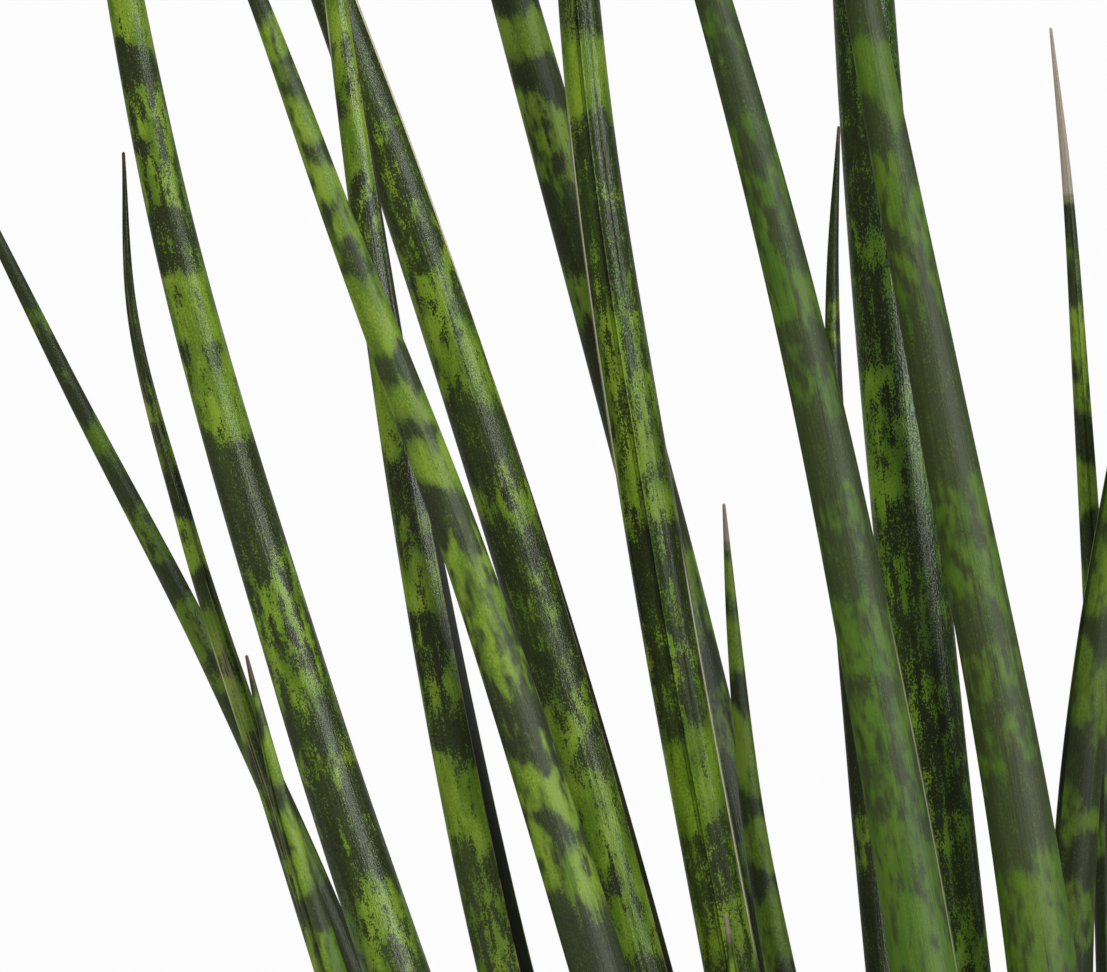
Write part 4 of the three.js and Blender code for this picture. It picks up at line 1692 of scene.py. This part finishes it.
@dataclass(frozen=True)
class Studio:
    """The photograph's camera, a pale floor that fades into the white backdrop, and soft lights."""

    eye: Triple = (-0.11554, -1.4, 0.605)
    seen_width: float = 0.24065
    sensor: float = 36.0
    nearest: float = 0.05
    floor_radius: float = 1.3
    floor_sides: int = 160
    floor_fade: Pair = (0.25, 1.1)
    paper: tuple[Colour, Colour] = (screen_colour(236, 236, 236), screen_colour(242, 242, 242))
    fibre: Triple = (3 * MM, 3 * MM, 3 * MM)
    paper_roughness: float = 0.9
    middle: Triple = (0.0, 0.0, 0.55)
    backdrop: float = 0.98
    ambient: float = 0.28
    ambient_gloss: float = 0.1
    sky_angle: float = math.radians(70)
    sky_strength: float = 1.9
    sky_height: float = 3.0

    def hang(self, data: bpy.types.Light | bpy.types.Camera, place: Triple) -> Piece:
        """Puts a light or the camera in its place.

        Args:
            data: The light or the camera.
            place: Where it goes.

        Returns:
            Its object, which looks straight down.
        """
        item = bpy.data.objects.new(data.name, data)
        item.location = place
        bpy.context.scene.collection.objects.link(item)
        return item

    def camera(self) -> None:
        """Sets the camera at the photograph's viewing angle."""
        data = bpy.data.cameras.new("photo_camera")
        data.sensor_width = self.sensor
        data.lens = self.sensor * -self.eye[1] / self.seen_width
        data.clip_start = self.nearest
        camera = self.hang(data, self.eye)
        camera.rotation_euler = (math.pi / 2, 0, 0)
        bpy.context.scene.camera = camera

    def floor(self) -> None:
        """Lays the pale floor, whose far part is as white as the backdrop."""
        select()
        bpy.ops.mesh.primitive_circle_add(
            vertices=self.floor_sides, radius=self.floor_radius, fill_type="NGON"
        )
        floor = bpy.context.object
        floor.name = "pale_floor"
        nodes = Shader(bpy.data.materials.new("pale_paper"))
        place = nodes.object_place()
        tone = nodes.blend(nodes.noise(place, self.fibre, 2.0), *self.paper)
        far = nodes.step(nodes.vector("LENGTH", {0: place}, 1), *self.floor_fade)
        white = (self.backdrop, self.backdrop, self.backdrop, 1.0)
        glow = {"Emission Color": nodes.blend(far, BLACK, white), "Emission Strength": 1.0}
        tone = nodes.blend(far, tone, BLACK)
        paper = nodes.surface(tone, self.paper_roughness, {"Specular IOR Level": 0.0, **glow})
        floor.data.materials.append(paper)
        floor.visible_diffuse = False

    def softbox(self, box: Softbox) -> None:
        """Hangs one soft light that looks at the middle of the plant.

        Args:
            box: The light.
        """
        data = bpy.data.lights.new(box.name, "AREA")
        data.color = box.colour
        data.shape = "RECTANGLE"
        data.size, data.size_y = box.size
        data.energy = box.radiance * math.pi * data.size * data.size_y
        light = self.hang(data, box.place)
        aim = Vector(self.middle) - Vector(box.place)
        light.rotation_euler = aim.to_track_quat("-Z", "Y").to_euler()
        light.visible_camera = False
        light.visible_diffuse = box.reaches is Glow.COLOUR
        light.visible_glossy = box.reaches is Glow.GLOSS

    def sky(self) -> None:
        """Adds a wide soft light from straight above."""
        data = bpy.data.lights.new("sky", "SUN")
        data.angle = self.sky_angle
        data.energy = self.sky_strength
        self.hang(data, (0, 0, self.sky_height))

    def world(self) -> None:
        """Makes the background white to the camera and dimmer as a light."""
        world = bpy.data.worlds.new("white_backdrop")
        bpy.context.scene.world = world
        nodes = Shader(world)
        rays = nodes.add("LightPath", {}).outputs
        around = nodes.between(rays["Is Glossy Ray"], self.ambient, self.ambient_gloss)
        strength = nodes.between(rays["Is Camera Ray"], around, self.backdrop)
        background = nodes.add("Background", {"Color": (1.0, 1.0, 1.0, 1.0), "Strength": strength})
        nodes.add("OutputWorld", {"Surface": background.outputs[0]})

    def build(self) -> None:
        """Builds the studio."""
        self.camera()
        self.floor()
        self.world()
        self.sky()
        for box in SOFTBOXES:
            self.softbox(box)
        bpy.context.scene.view_settings.view_transform = "Standard"
        bpy.context.scene.view_settings.look = "None"


def main() -> None:
    """Builds the plant and its studio."""
    logging.basicConfig(level=logging.INFO, format="%(name)s %(message)s")
    Studio().build()
    Leaves().build()
    Sheaths().build()
    pot = Pot()
    pot.build()
    PottingMix(pot).build()
    Rhizome().build()


if __name__ == "__main__":
    main()
